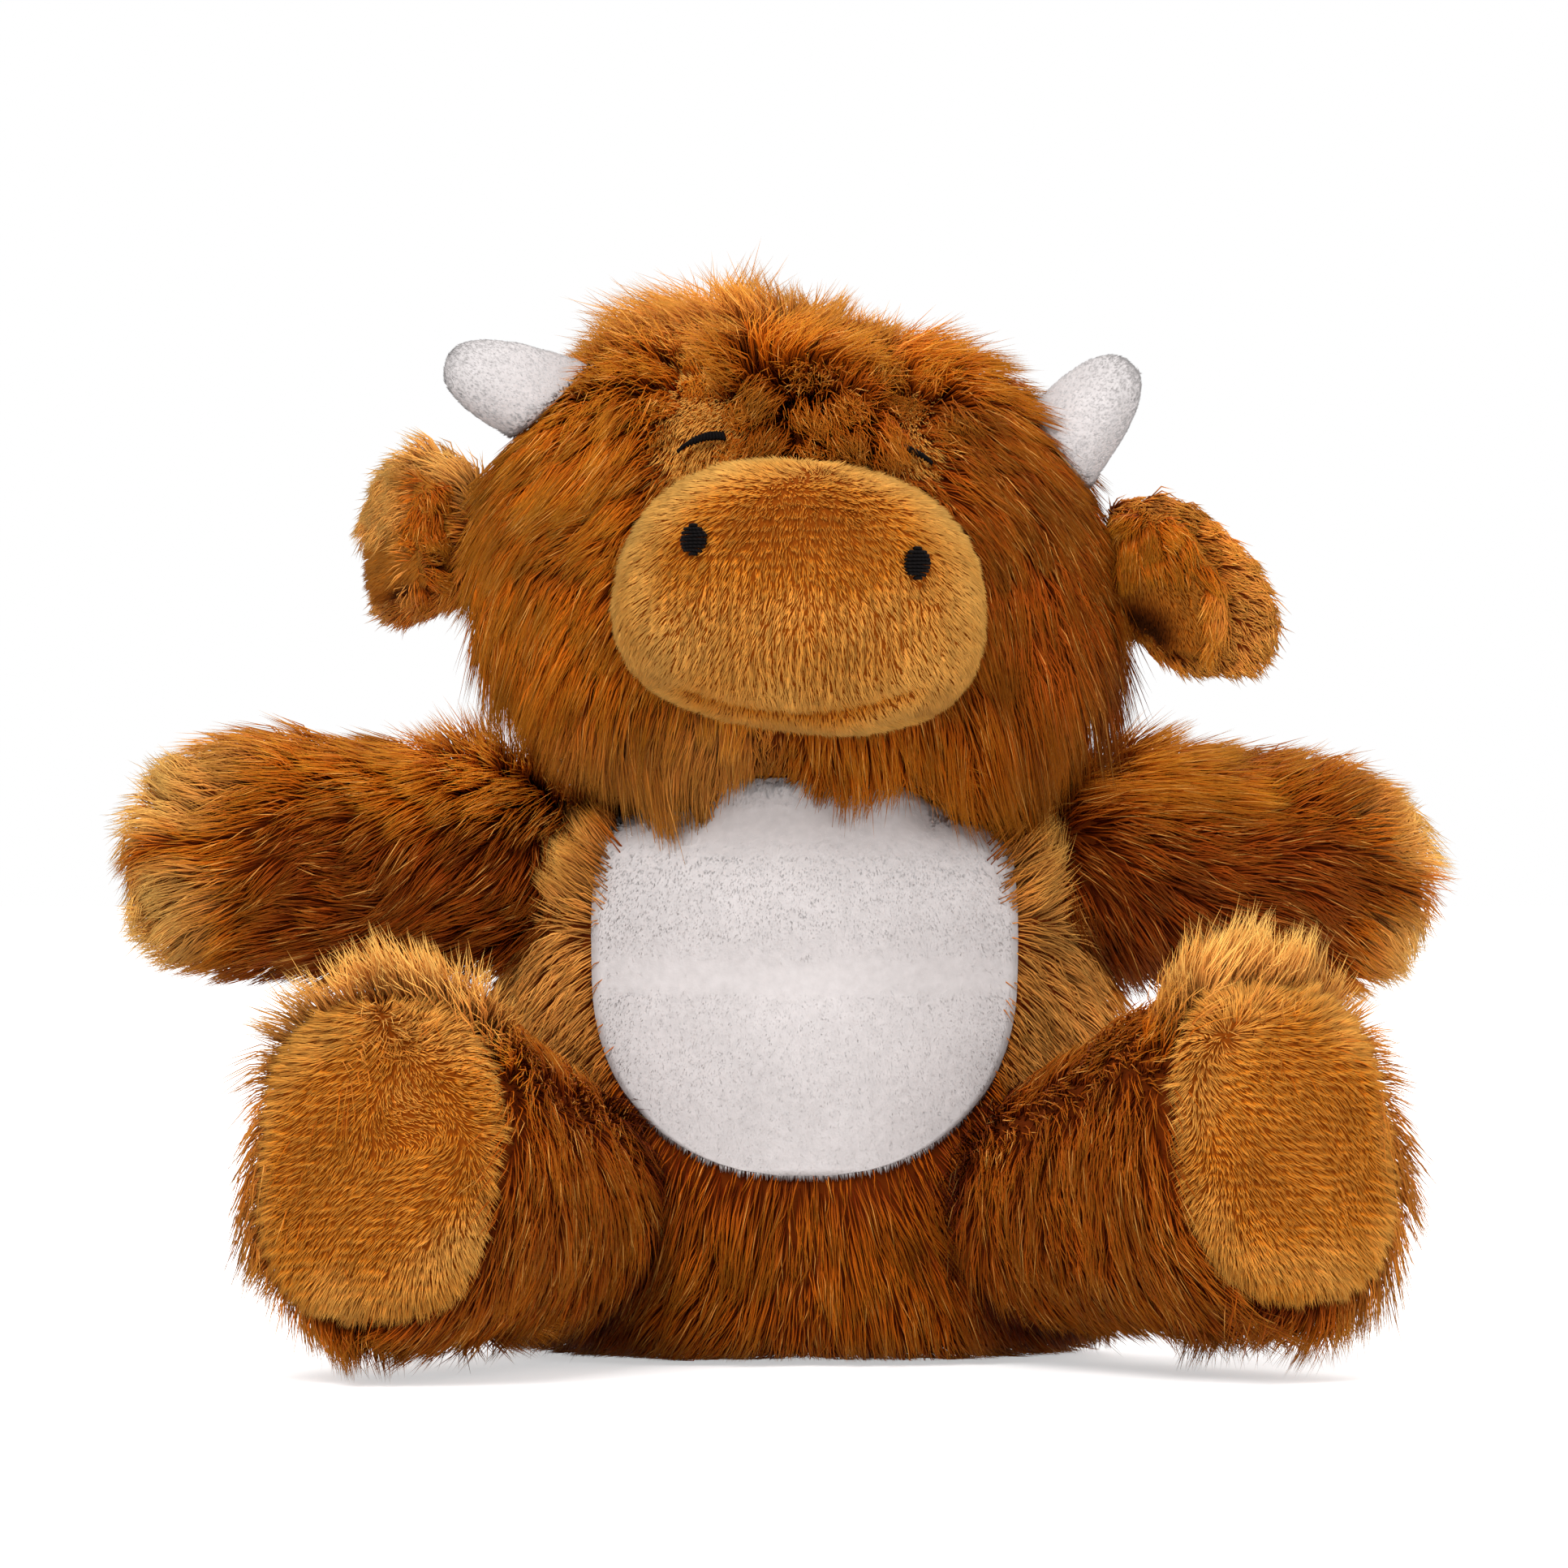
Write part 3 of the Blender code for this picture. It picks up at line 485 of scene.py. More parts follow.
def puff(piece, cap):
    """Lets the stuffing push the cover out by cloth simulation, no further than the cap."""
    rest, _ = points_of(piece)
    scene = bpy.context.scene
    cloth = piece.modifiers.new("Stuffing", "CLOTH")
    cloth.settings.use_pressure = True
    cloth.settings.uniform_pressure_force = PUFF_PRESSURE
    cloth.settings.effector_weights.gravity = 0
    cloth.settings.quality = PUFF_QUALITY
    cloth.point_cache.frame_start = 1
    cloth.point_cache.frame_end = PUFF_FRAMES
    for number in range(1, PUFF_FRAMES + 1):
        scene.frame_set(number)
    settle(piece)
    moved, _ = points_of(piece)
    step = moved - rest
    far = np.linalg.norm(step, axis=1, keepdims=True)
    move_points(piece, rest + step * np.minimum(1, cap / np.maximum(far, 1e-9)))
    scene.frame_set(1)


def stuffed(name, nodes, voxel, sink, smooth=6, cap=0.0008, round_them=True):
    """A stuffed cover from CAD nodes: remeshed, puffed, smoothed and set back under its pile."""
    piece = link(name, form_of(name, nodes, round_them))
    remesh = piece.modifiers.new("Even mesh", "REMESH")
    remesh.mode = "VOXEL"
    remesh.voxel_size = voxel
    settle(piece)
    puff(piece, cap)
    soften = piece.modifiers.new("Soften", "SMOOTH")
    soften.factor = 0.5
    soften.iterations = smooth
    settle(piece)
    places, normals = points_of(piece)
    move_points(piece, places - normals * sink)
    piece.data.shade_smooth()
    return piece


def ease(values, low, high):
    """0 at low and under it, 1 at high and over it, and a smooth rise between them."""
    share = np.clip((values - low) / (high - low), 0, 1)
    return share * share * (3 - 2 * share)


def unit(vectors):
    return vectors / np.maximum(np.linalg.norm(vectors, axis=1, keepdims=True), 1e-9)


DRIFT_SEED = 1


def drift(places, size, amount, seed=0):
    """A vector for each place that changes slowly, over this size."""
    noise.seed_set(DRIFT_SEED)
    shift = Vector((seed * 3.7, seed * 1.3, seed * 2.1))
    return np.array([noise.noise_vector(Vector(place) / size + shift) for place in places]) * amount


def tree_of(name):
    mesh = piece_named(name).data
    return BVHTree.FromPolygons([v.co for v in mesh.vertices], [p.vertices for p in mesh.polygons])


def front_hit(tree, x, z):
    """The place and the normal where a cover is hit from the front."""
    return tree.ray_cast(Vector((x, -0.1, z)), Vector((0, 1, 0)))[:2]


def hidden_in(places, names, depth):
    """1 for each place that lies this deep inside one of the covers, and 0 for the others."""
    hidden = np.zeros(len(places))
    for tree in map(tree_of, names):
        for i, place in enumerate(places):
            found, normal, _, far = tree.find_nearest(Vector(place))
            if far > depth and (Vector(place) - found).dot(normal) < 0:
                hidden[i] = 1
    return hidden


def distance_to(places, name):
    tree = tree_of(name)
    return np.array([tree.find_nearest(Vector(place))[3] for place in places])


def painted_crease_shade(places, *names):
    """How close each place lies to another cover, from 0 to 1, for painted shade in the crease between
    them.
    """
    gaps = [distance_to(places, name) for name in names]
    return 1 - ease(np.min(gaps, axis=0), 0.0, CREASE_REACH)


def store(skin, name, values, kind="FLOAT"):
    attribute = skin.data.attributes.get(name) or skin.data.attributes.new(name, kind, "POINT")
    if kind == "FLOAT":
        values = np.broadcast_to(values, len(skin.data.vertices))
    field = "value" if kind == "FLOAT" else "vector"
    attribute.data.foreach_set(field, np.array(values, np.float32).ravel())


def paint(skin, comb, lift, length_share=1.0, density_share=1.0, pale=0.0, uneven=0.0):
    """Stores how the pile lies: direction, lift in degrees, shares of length and density, and paleness,
    which below zero darkens the pile and in creases and hollows is painted shade.
    """
    places, normals = points_of(skin)
    length_share = length_share * (1 + drift(places, 0.007, uneven, 21)[:, 0]) if uneven else length_share
    flat = unit(comb - normals * np.sum(comb * normals, axis=1, keepdims=True))
    store(skin, "comb", flat, "FLOAT_VECTOR")
    store(skin, "lift", np.radians(lift))
    store(skin, "length_share", length_share)
    store(skin, "density_share", density_share)
    store(skin, "pale", pale)


def run_tree(piece, tree, **values):
    """What a tree makes of the piece, as a new mesh. The piece stays as it was."""
    identifiers = {item.name: item.identifier for item in tree.interface.items_tree}
    modifier = piece.modifiers.new(tree.name, "NODES")
    modifier.node_group = tree
    for key, value in values.items():
        modifier[identifiers[title(key)]] = value
    made = shaped_mesh(piece)
    piece.modifiers.remove(modifier)
    return made


def density_for(skin, kind, triangles):
    """The density that gives the pile about this many triangles."""
    mesh = skin.data
    shares = np.empty(len(mesh.vertices), np.float32)
    mesh.attributes["density_share"].data.foreach_get("value", shares)
    area = sum(p.area * shares[list(p.vertices)].mean() for p in mesh.polygons)
    sides, rings = STRANDS[kind]
    return triangles / (2 * sides * (len(rings) - 1) + sides + 1) / area


TRIANGLES = {  # of each pile, about, and on each side where there are two
    "body_pile_front": 145000,
    "body_pile_back": 75000,
    "belly_patch_pile": 92000,
    "neck_front_pile": 22000,
    "neck_pile": 24000,
    "head_pile_crown": 135000,
    "head_pile_brow": 100000,
    "head_pile_cheeks": 160000,
    "head_pile_back": 75000,
    "eye_bed_pile": 14000,
    "muzzle_pile": 150000,
    "horn_pile": 26000,
    "ear_pile": 56000,
    "ear_lining_pile": 22000,
    "ear_fringe_pile": 20000,
    "arm_pile": 125000,
    "leg_pile": 140000,
    "foot_pad_pile": 45000,
    "tail_cord_pile": 9000,
    "tail_tuft_pile": 22000,
}


def grow(name, skin, body, kind, material, sizes, changes):
    """Pile on the skin, as a plain mesh of its own."""
    triangles = TRIANGLES[name.replace("_left", "").replace("_right", "")]
    sizes = {**sizes, "density": density_for(skin, kind, triangles), "seed": pile_sizes().seed, **changes}
    pile = link(name, run_tree(skin, pile_tree(), strand=strand_object(kind), material=material, **sizes))
    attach(pile, body)


# How far the fibres stray, bend and hang, and how their locks draw them together
LONG_LIE = {
    "spread": 0.20, "lock_spread": 0.42, "bend": 0.55, "fall": 0.12, "lock_pull": 0.72, "wave": 0.0005
}
SHORT_LIE = {
    "spread": 0.2, "lock_spread": 0.3, "bend": 0.3, "fall": 0.0, "lock_pull": 0.3, "wave": 0.0,
    "lock_size": 0.0012,
}


def long_pile(name, skin, body, wide=1.0, **changes):
    """Shaggy pile, its fibres this much wider than elsewhere."""
    pile = pile_sizes()
    sizes = dict(LONG_LIE, length=pile.long_pile, width=pile.long_width * wide, lock_size=pile.lock_size)
    grow(name, skin, body, "long", long_pile_material(), sizes, changes)


def short_pile(name, skin, body, white=False, wide=1.0, **changes):
    """Velvety pile, its tufts this much wider than elsewhere."""
    pile = pile_sizes()
    length = pile.white_pile if white else pile.short_pile
    sizes = dict(SHORT_LIE, length=length, width=pile.short_width * wide)
    material = white_pile_material() if white else short_pile_material()
    grow(name, skin, body, "short", material, sizes, changes)


def stitch_tree():
    """Threads between the points' start and finish, which lie on the cloth and rise along out."""
    if "Stitches" in bpy.data.node_groups:
        return bpy.data.node_groups["Stitches"]
    tree, w, get, sink = new_tree(
        "Stitches", "GeometryNodeTree", "Stitches", "Geometry",
        points="Geometry", thread="Object", material="Material", thickness=0.0004, rise=0.0003,
    )
    mesh = w.repeated(w.add("GeometryNodeMeshToPoints", {"Mesh": get["points"]}), get["thread"])
    along = w.named("along")
    start, finish, out = w.named_vectors("start", "finish", "out")
    arch = w.math("POWER", w.math("SINE", w.times(along, math.pi)), 0.6)
    line = w.sum(w.blended(start, finish, along), w.scaled(out, w.times(arch, get["rise"])))
    side = w.vector("NORMALIZE", w.vector("CROSS_PRODUCT", w.vector("SUBTRACT", finish, start), out))
    cross = w.parts(w.named("cross", "FLOAT_VECTOR"))
    reach = w.times(get["thickness"], 0.5)
    line = w.sum(line, w.scaled(side, w.times(cross[0], reach)))
    line = w.sum(line, w.scaled(out, w.times(cross[1], reach)))
    mesh = w.add("GeometryNodeSetPosition", {"Geometry": mesh, "Position": line})
    w.finish(mesh, "start finish out cross", get["material"], sink)
    return tree


def embroider(node, stitches, thickness):
    """Embroidery in the place of a CAD node, from (start, finish, out) for each stitch."""
    data = bpy.data.meshes.new(f"{node}_stitches")
    data.from_pydata([start for start, _, _ in stitches], [], [])
    guide = link(f"{node}_guide", data)
    for key, name in enumerate(("start", "finish", "out")):
        store(guide, name, [stitch[key] for stitch in stitches], "FLOAT_VECTOR")
    values = {"thread": strand_object("thread"), "thickness": thickness, "rise": STITCH_RISE}
    made = run_tree(guide, stitch_tree(), material=thread_material(), **values)
    bpy.data.objects.remove(guide)
    piece = link(f"{node}_stitches", made)
    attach(piece, "head")
    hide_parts(node)


def pile_colour_group():
    """The colour of a fibre from its root to its tip, with differences between fibres and between locks,
    and painted shade and highlights.
    """
    if "Pile colour" in bpy.data.node_groups:
        return bpy.data.node_groups["Pile colour"]
    tree, w, get, sink = new_tree(
        "Pile colour", "ShaderNodeTree", "Colour", "Color",
        root=(0.2, 0.06, 0.01, 1), middle=(0.4, 0.2, 0.05, 1), tip=(0.7, 0.4, 0.15, 1),
        pale=(0.8, 0.6, 0.35, 1),
        tip_start=0.5, pale_whole=0.0, lit_share=0.0, contrast=0.3, patch_size=90.0,
    )

    def attribute(name):
        return w.add("ShaderNodeAttribute", output=2, attribute_name=name)

    along, tone, lock, pale, ridge = map(attribute, ("along", "tone", "lock", "pale", "ridge"))
    place = w.add("ShaderNodeTexCoord", output=3)
    patches = w.add("ShaderNodeTexNoise", {"Vector": place, "Scale": get["patch_size"], "Detail": 2.0})
    streak = w.add("ShaderNodeCombineXYZ", {0: attribute("across"), 1: w.times(tone, 37.0), 2: along})
    streaks = w.add("ShaderNodeTexNoise", {"Vector": streak, "Scale": 5.0, "Detail": 1.0})
    light = w.math("MAXIMUM", pale, 0.0)
    deep = w.math("MAXIMUM", w.times(pale, -1.0), 0.0)
    rise = w.math("MAXIMUM", w.ramp(along, 0.05, 0.55), w.times(light, 0.6))
    colour = w.mixed(get["root"], get["middle"], rise)
    colour = w.mixed(colour, get["tip"], w.ramp(along, get["tip_start"], 1.0))
    end = w.ramp(along, w.times_plus(light, -0.6, 1.0), w.times_plus(light, -0.3, 1.3))
    colour = w.mixed(colour, get["pale"], w.times(w.math("MAXIMUM", end, get["pale_whole"]), light))
    # Where the paleness is below zero the fibre turns towards its root colour: darker colour, and in
    # creases and hollows painted shade.
    colour = w.mixed(colour, get["root"], w.times(deep, 0.65))
    # Painted highlight: a few fibres at random turn pale from their middle out, as if lit.
    lit = w.times(w.ramp(tone, 0.90, 0.97), w.ramp(along, 0.3, 0.7))
    colour = w.mixed(colour, get["pale"], w.times(lit, get["lit_share"]))
    uneven = w.times_plus(tone, 0.5, w.times(lock, 0.6))
    uneven = w.times_plus(patches, 1.2, uneven)
    uneven = w.times_plus(streaks, 0.5, uneven)
    value = w.times_plus(w.math("SUBTRACT", uneven, 1.4), get["contrast"], 1.0)
    # Painted shade in the furrows and painted light on the crests of the pile's ridges.
    value = w.times(value, w.times_plus(ridge, 0.16, 1.0))
    # Painted shade: where the paleness is below -1 the fibre is darkened almost to black.
    value = w.times(value, w.ramp(deep, 1.0, 2.0, 1.0, 0.15))
    w.plug(w.add("ShaderNodeHueSaturation", {"Value": value, "Color": colour}), sink)
    return tree


def pile_normal_group():
    """A normal between the fibre's own and that of the cloth under it, so that fine pile looks soft."""
    if "Pile normal" in bpy.data.node_groups:
        return bpy.data.node_groups["Pile normal"]
    tree, w, get, sink = new_tree("Pile normal", "ShaderNodeTree", "Normal", "Vector", soft=0.5)
    nap = w.add("ShaderNodeAttribute", output=1, attribute_name="nap")
    own = w.add("ShaderNodeTexCoord", output=1)
    both = w.blended(own, nap, get["soft"])
    kinds = {"vector_type": "NORMAL", "convert_from": "OBJECT", "convert_to": "WORLD"}
    w.plug(w.vector("NORMALIZE", w.add("ShaderNodeVectorTransform", {0: both}, **kinds)), sink)
    return tree


def rgba(colour, share=1.0):
    return (*(c * share for c in colour), 1.0)


def new_material(name, roughness, specular=0.05):
    """A material, the writer of its nodes and its shader's inputs."""
    material = bpy.data.materials.new(name)
    material.use_nodes = True
    inputs = material.node_tree.nodes["Principled BSDF"].inputs
    inputs["Roughness"].default_value = roughness
    inputs["Specular IOR Level"].default_value = specular
    return material, NodeWriter(material.node_tree), inputs


def pile_material(name, shades, soft, roughness, **values):
    if name in bpy.data.materials:
        return bpy.data.materials[name]
    material, w, inputs = new_material(name, roughness)
    values.update(zip(("root", "middle", "tip", "pale"), map(rgba, shades)))
    for socket, group, sizes in (
        ("Base Color", pile_colour_group(), values), ("Normal", pile_normal_group(), {"soft": soft})
    ):
        sizes = {title(key): value for key, value in sizes.items()}
        w.plug(w.add("ShaderNodeGroup", sizes, node_tree=group), inputs[socket])
    return material


def long_pile_material():
    c = colours()
    values = {"contrast": 0.7, "tip_start": 0.5, "pale_whole": 0.5, "lit_share": 0.5}
    return pile_material("long_pile", (c.root, c.middle, c.tip, c.pale), 0.25, 0.5, **values)


def short_pile_material():
    c = colours()
    shades = c.short_root, c.short_middle, c.short_tip, c.pale
    values = {"contrast": 0.45, "tip_start": 0.3, "patch_size": 120.0, "pale_whole": 0.85}
    return pile_material("short_pile", shades, 0.5, 0.6, **values)


def white_pile_material():
    shade = colours().white
    shades = tuple(value * 0.96 for value in shade), shade, shade, shade
    return pile_material("white_pile", shades, 0.95, 0.75, contrast=0.03, patch_size=60.0)


def backing_material(name, colour, scale=900.0):
    """Knitted backing under the pile: uneven colour and a fine stitch, this many to a metre."""
    if name in bpy.data.materials:
        return bpy.data.materials[name]
    material, w, inputs = new_material(name, 0.9)
    place = w.add("ShaderNodeTexCoord", output=3)
    fine = w.add("ShaderNodeTexNoise", {"Vector": place, "Scale": scale, "Detail": 3.0})
    wide = w.add("ShaderNodeTexNoise", {"Vector": place, "Scale": scale / 12, "Detail": 2.0})
    both = w.times_plus(fine, 0.5, w.times(wide, 0.5))
    w.plug(w.mixed(rgba(colour, 0.7), rgba(colour, 1.25), both), inputs["Base Color"])
    w.bump(fine, 0.5, 0.0002, inputs)
    return material


def thread_material():
    """Twisted embroidery thread."""
    if "embroidery_thread" in bpy.data.materials:
        return bpy.data.materials["embroidery_thread"]
    material, w, inputs = new_material("embroidery_thread", 0.6, 0.04)
    across = w.add("ShaderNodeAttribute", output=2, attribute_name="across")
    along = w.add("ShaderNodeAttribute", output=2, attribute_name="along")
    ply = w.math("SINE", w.times(w.times_plus(along, 3.0, across), math.tau * 2))
    twist = w.ramp(ply, -1.0, 1.0)
    colour = colours().thread
    w.plug(w.mixed(rgba(colour, 0.5), rgba(colour, 1.6), twist), inputs["Base Color"])
    w.bump(twist, 0.6, 0.00005, inputs)
    return material


def backing(plush):
    """The backing of long, short or white plush."""
    c = colours()
    if plush == "long":
        brown = tuple(0.42 * root + 0.13 * middle for root, middle in zip(c.root, c.middle))
        return backing_material("long_pile_backing", brown)
    if plush == "short":
        return backing_material("short_pile_backing", tuple(v * 0.8 for v in c.short_root))
    return backing_material("white_backing", tuple(v * 0.85 for v in c.white))


SLOTS = {"long": "long_pile_plush", "short": "short_pile_plush", "white": "white_plush"}


def clad(skin, plush, body, *nodes, fill, slot=None):
    """Gives a skin its backing and its body, hides the CAD nodes that it stands for, and gives its points.
    """
    skin.data.materials.clear()
    skin.data.materials.append(backing(plush))
    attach(skin, body)
    slot or SLOTS[plush]
    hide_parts(*nodes)
    return points_of(skin)


def middle_of(node):
    low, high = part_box(node)
    return np.array((low + high) / 2)


COVERS = {
    "body_skin": ("body_cover", "belly_patch"),
    "head_skin": ("head_cover",),
    "muzzle_skin": ("muzzle_cover", "lower_lip"),
    "arm_left_skin": ("arm_left_cover",),
    "arm_right_skin": ("arm_right_cover",),
    "leg_left_skin": ("leg_left_cover",),
    "leg_right_skin": ("leg_right_cover",),
}
COVER_VOXEL = 0.0022
MUZZLE_VOXEL = 0.0009
# Painted shade: the pile is painted darker this close to another cover.
CREASE_REACH = 0.007  # how far from another cover the pile is dark
CREASE_SHADE = 1.1
PILE_OVERLAP = 0.0022  # how deep pile still grows where one cover meets another
BACK_FIBRE = 1.35  # the fibres at the back are fewer and this much wider
EAR_FIBRE = 1.2
WHITE_TUFT = 1.3
RIDGE_PITCH = 0.0012  # of the ridges in which the short pile lies
DOWN = (0, 0, -1.0)


def others(name):
    return [other for other in COVERS if other != name]


# How far the stuffing pushes the top of the body out, and at what height
SHOULDER_SWELL = 0.0032
CHEST_SWELL = (0, -0.0040, 0.0016)
SWELL_HEIGHT = (0.046, 0.062)
SWELL_FRONT = (0.0, 0.010)

# Neck: how far its white front stands out and widens, and where its pile is and its white front ends
NECK_BIB = 0.0045
NECK_BIB_FOOT = (0.060, 0.070)
NECK_WIDENING = 0.5
NECK_WIDENING_TOP = (0.066, 0.078)
NECK_BAND = (0.068, 0.008, 0.011)  # the height of its middle, and how far off its pile thins and ends
NECK_FRONT = -0.008


class PLUSHCOW_OT_covers(Operator):
    """Stuffs every cover, before any pile grows, so that no pile grows where another cover hides it"""

    bl_idname = "plush_cow.covers"
    bl_label = "Stuffed covers"

    def execute(self, context):
        pile = pile_sizes()
        for name, nodes in COVERS.items():
            if name == "muzzle_skin":
                stuffed(name, nodes, MUZZLE_VOXEL, pile.short_pile * 0.5, smooth=10)
            else:
                stuffed(name, nodes, COVER_VOXEL, pile.sink, smooth=5)
        body = piece_named("body_skin")
        places, normals = points_of(body)
        high = ease(places[:, 2], *SWELL_HEIGHT)
        front = high * ease(-places[:, 1], *SWELL_FRONT)
        swell = normals * (high * SHOULDER_SWELL)[:, None]
        move_points(body, places + swell + np.outer(front, CHEST_SWELL))
        neck = stuffed("neck_skin", ["neck_filling"], COVER_VOXEL * 0.6, sink=0.0006)
        places, _ = points_of(neck)
        front = ease(-places[:, 1], *SWELL_FRONT)
        wide = places[:, 0] * front * NECK_WIDENING * (1 - ease(places[:, 2], *NECK_WIDENING_TOP))
        bib = front * NECK_BIB * (1.4 - 0.4 * ease(places[:, 2], *NECK_BIB_FOOT))
        move_points(neck, places + np.outer(bib, (0, -1, 0)) + np.outer(wide, (1, 0, 0)))
        return {"FINISHED"}


# Belly patch: its outline's fullness, the rise of its outline, its mesh and its cloth
PATCH_FALL_FULLNESS = 2.2
PATCH_RISE_FULLNESS = 3.0
PATCH_RISE = 0.032
PATCH_ROWS = 40
PATCH_COLUMNS = 44
PATCH_CLOTH = 0.0010
PATCH_RAISE = 0.0011
PATCH_CREST = 0.0004
PATCH_TOP = 0.0706  # of the strip that runs up the neck to the chin
PATCH_STRIP = (0.010, 0.016)  # from the middle, where that strip begins to fall and where it ends
PATCH_BLEND = 0.0015
PATCH_OVERHANG = 0.0022  # how far the shaggy pile still grows under the patch's lower edge
PATCH_SHOULDER = (0.0630, 0.0652)  # the heights between which the patch's pile turns up


def patch_half_width(z):
    """Half the belly patch's width at these heights, from the outline of its CAD node."""
    low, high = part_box("belly_patch")
    half = (high.x - low.x) / 2
    fall = half * 0.97
    level = low.z + fall
    share = np.clip(np.where(z < level, (level - z) / fall, (z - level) / PATCH_RISE), 0, 1)
    full = np.where(z < level, PATCH_FALL_FULLNESS, PATCH_RISE_FULLNESS)
    return half * (1 - share**full) ** (1 / full)


def patch_sheet(name):
    """The belly patch's cloth: a sheet on the body and up the neck, inside the patch's outline."""
    low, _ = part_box("belly_patch")
    trees = tree_of("body_skin"), tree_of("neck_skin")
    crest = max(v.co.z for v in piece_named("body_skin").data.vertices) - PATCH_CREST
    heights = np.linspace(low.z, PATCH_TOP, 200)
    halves = patch_half_width(heights)

    def on_front(across, z):
        """The place and the normal where body and neck, blended into each other, are hit from the front."""
        x = across * float(np.interp(z, heights, halves))
        hits = [hit for hit in (front_hit(tree, x, z) for tree in trees) if hit[0] is not None]
        if not hits:
            return None, None
        nearest = min(found.y for found, _ in hits)
        shares = [math.exp((nearest - found.y) / PATCH_BLEND) for found, _ in hits]
        turned = sum((normal * share for (_, normal), share in zip(hits, shares)), Vector())
        return Vector((x, nearest - PATCH_BLEND * math.log(sum(shares)), z)), turned.normalized()

    mesh = bmesh.new()
    columns = []
    for j in range(PATCH_COLUMNS + 1):
        across = 2 * j / PATCH_COLUMNS - 1
        aside = abs(across) * float(np.interp(crest, heights, halves))
        top = crest + (PATCH_TOP - crest) * (1 - ease(aside, *PATCH_STRIP))
        while on_front(across, top)[0] is None:
            top -= PATCH_CREST
        column = []
        for i in range(PATCH_ROWS + 1):
            share = (i + 0.25) / (PATCH_ROWS + 0.25)
            found, normal = on_front(across, low.z + (top - low.z) * (share + 0.35 * share * (share - 1)))
            column.append(mesh.verts.new(found + normal * PATCH_RAISE))
        columns.append(column)
    for first, second in zip(columns, columns[1:]):
        for i in range(PATCH_ROWS):
            mesh.faces.new((first[i], second[i], second[i + 1], first[i + 1]))
    sheet = link(name, mesh_data(mesh, name))
    solid = sheet.modifiers.new("Cloth", "SOLIDIFY")
    solid.thickness = PATCH_CLOTH
    solid.offset = -1
    settle(sheet)
    sheet.data.shade_smooth()
    return sheet


# Body: where its shoulders and flanks begin and are full, in height and from its middle
SHOULDER_HEIGHT = (0.050, 0.058)
SHOULDER_ASIDE = (0.010, 0.018)
FLANK_HEIGHT = (0.026, 0.036)
FLANK_ASIDE = (0.018, 0.026)


def grow_body():
    skin = piece_named("body_skin")
    places, _ = clad(skin, "long", "body", "body_cover", fill=0.85)
    x, y, z = places.T
    half = np.maximum(patch_half_width(z), 0.001)
    beside = np.abs(x) / half
    on_patch = (y < -0.002) & (beside < 0.92) & (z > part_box("belly_patch")[0].z + PATCH_OVERHANG)
    level = middle_of("belly_patch")[2]
    outward = np.stack([x / 0.025, 0 * x, (z - level) / 0.05], axis=1)
    comb = outward + (0, 0, -0.75) + drift(places, 0.016, 0.8, 1)
    comb = np.where((y < 0)[:, None], comb, DOWN + drift(places, 0.016, 0.6, 1))
    density = (1 - on_patch) * (1 - hidden_in(places, others("body_skin"), PILE_OVERLAP))
    front = ease(-y, -0.008, 0.004)
    rim = np.where(y < 0, ease(beside, 0.97, 1.5), 1.0)
    length = (0.6 + 0.4 * rim) * (0.7 + 0.3 * ease(z, 0.0, 0.02))
    shoulder = ease(z, *SHOULDER_HEIGHT) * ease(np.abs(x), *SHOULDER_ASIDE)
    comb += np.outer(shoulder, (0, 0, 3.0)) + np.outer(shoulder * np.sign(x), (1.0, 0, 0))
    lift = 32 - 2 * rim + 14 * ease(0.012 - z, 0.0, 0.012) + 34 * shoulder
    length = length * (1 + 0.55 * shoulder)
    density *= 1 + 1.4 * shoulder
    flank = ease(np.abs(x), *FLANK_ASIDE) * ease(z, *FLANK_HEIGHT)
    # Pale flanks; darker elsewhere and towards the bottom, and painted shade where the body meets the legs.
    pale = 0.9 * flank * ease(-y, 0.0, 0.01) - 0.4 * (1 - flank) - 0.2 * ease(0.016 - z, 0.0, 0.014)
    pale -= CREASE_SHADE * painted_crease_shade(places, "leg_left_skin", "leg_right_skin") * (1 - flank)
    paint(skin, comb, lift, length, density * front, pale, 0.35)
    long_pile("body_pile_front", skin, "body")
    store(skin, "density_share", density * (1 - front))
    long_pile("body_pile_back", skin, "body", BACK_FIBRE)


def grow_patch():
    patch = patch_sheet("belly_patch_skin")
    places, normals = clad(patch, "white", "body", "belly_patch", fill=0.8)
    x, _, z = places.T
    edge = ease(np.abs(x), 0.018, 0.025)
    crest = ease(z, *PATCH_SHOULDER) * ease(np.abs(x), *PATCH_STRIP)
    comb = np.stack([x * 10, 0 * x, 1.6 * crest - 1], axis=1) + drift(places, 0.008, 0.3, 2)
    store(patch, "ribs", 1.0)
    paint(patch, comb, 10 + 4 * edge + 14 * crest, 1 + 0.5 * crest, (normals[:, 1] < 0.25) * 1.0)
    sizes = {"spread": 0.05, "lock_pull": 0.1, "bend": 0.8, "row_lift": 0.05}
    short_pile("belly_patch_pile", patch, "body", True, WHITE_TUFT, **sizes)


class PLUSHCOW_OT_body(Operator):
    """Grows the body's shaggy pile round the white belly patch"""

    bl_idname = "plush_cow.body"
    bl_label = "Body and belly patch"

    def execute(self, context):
        grow_body()
        grow_patch()
        return {"FINISHED"}


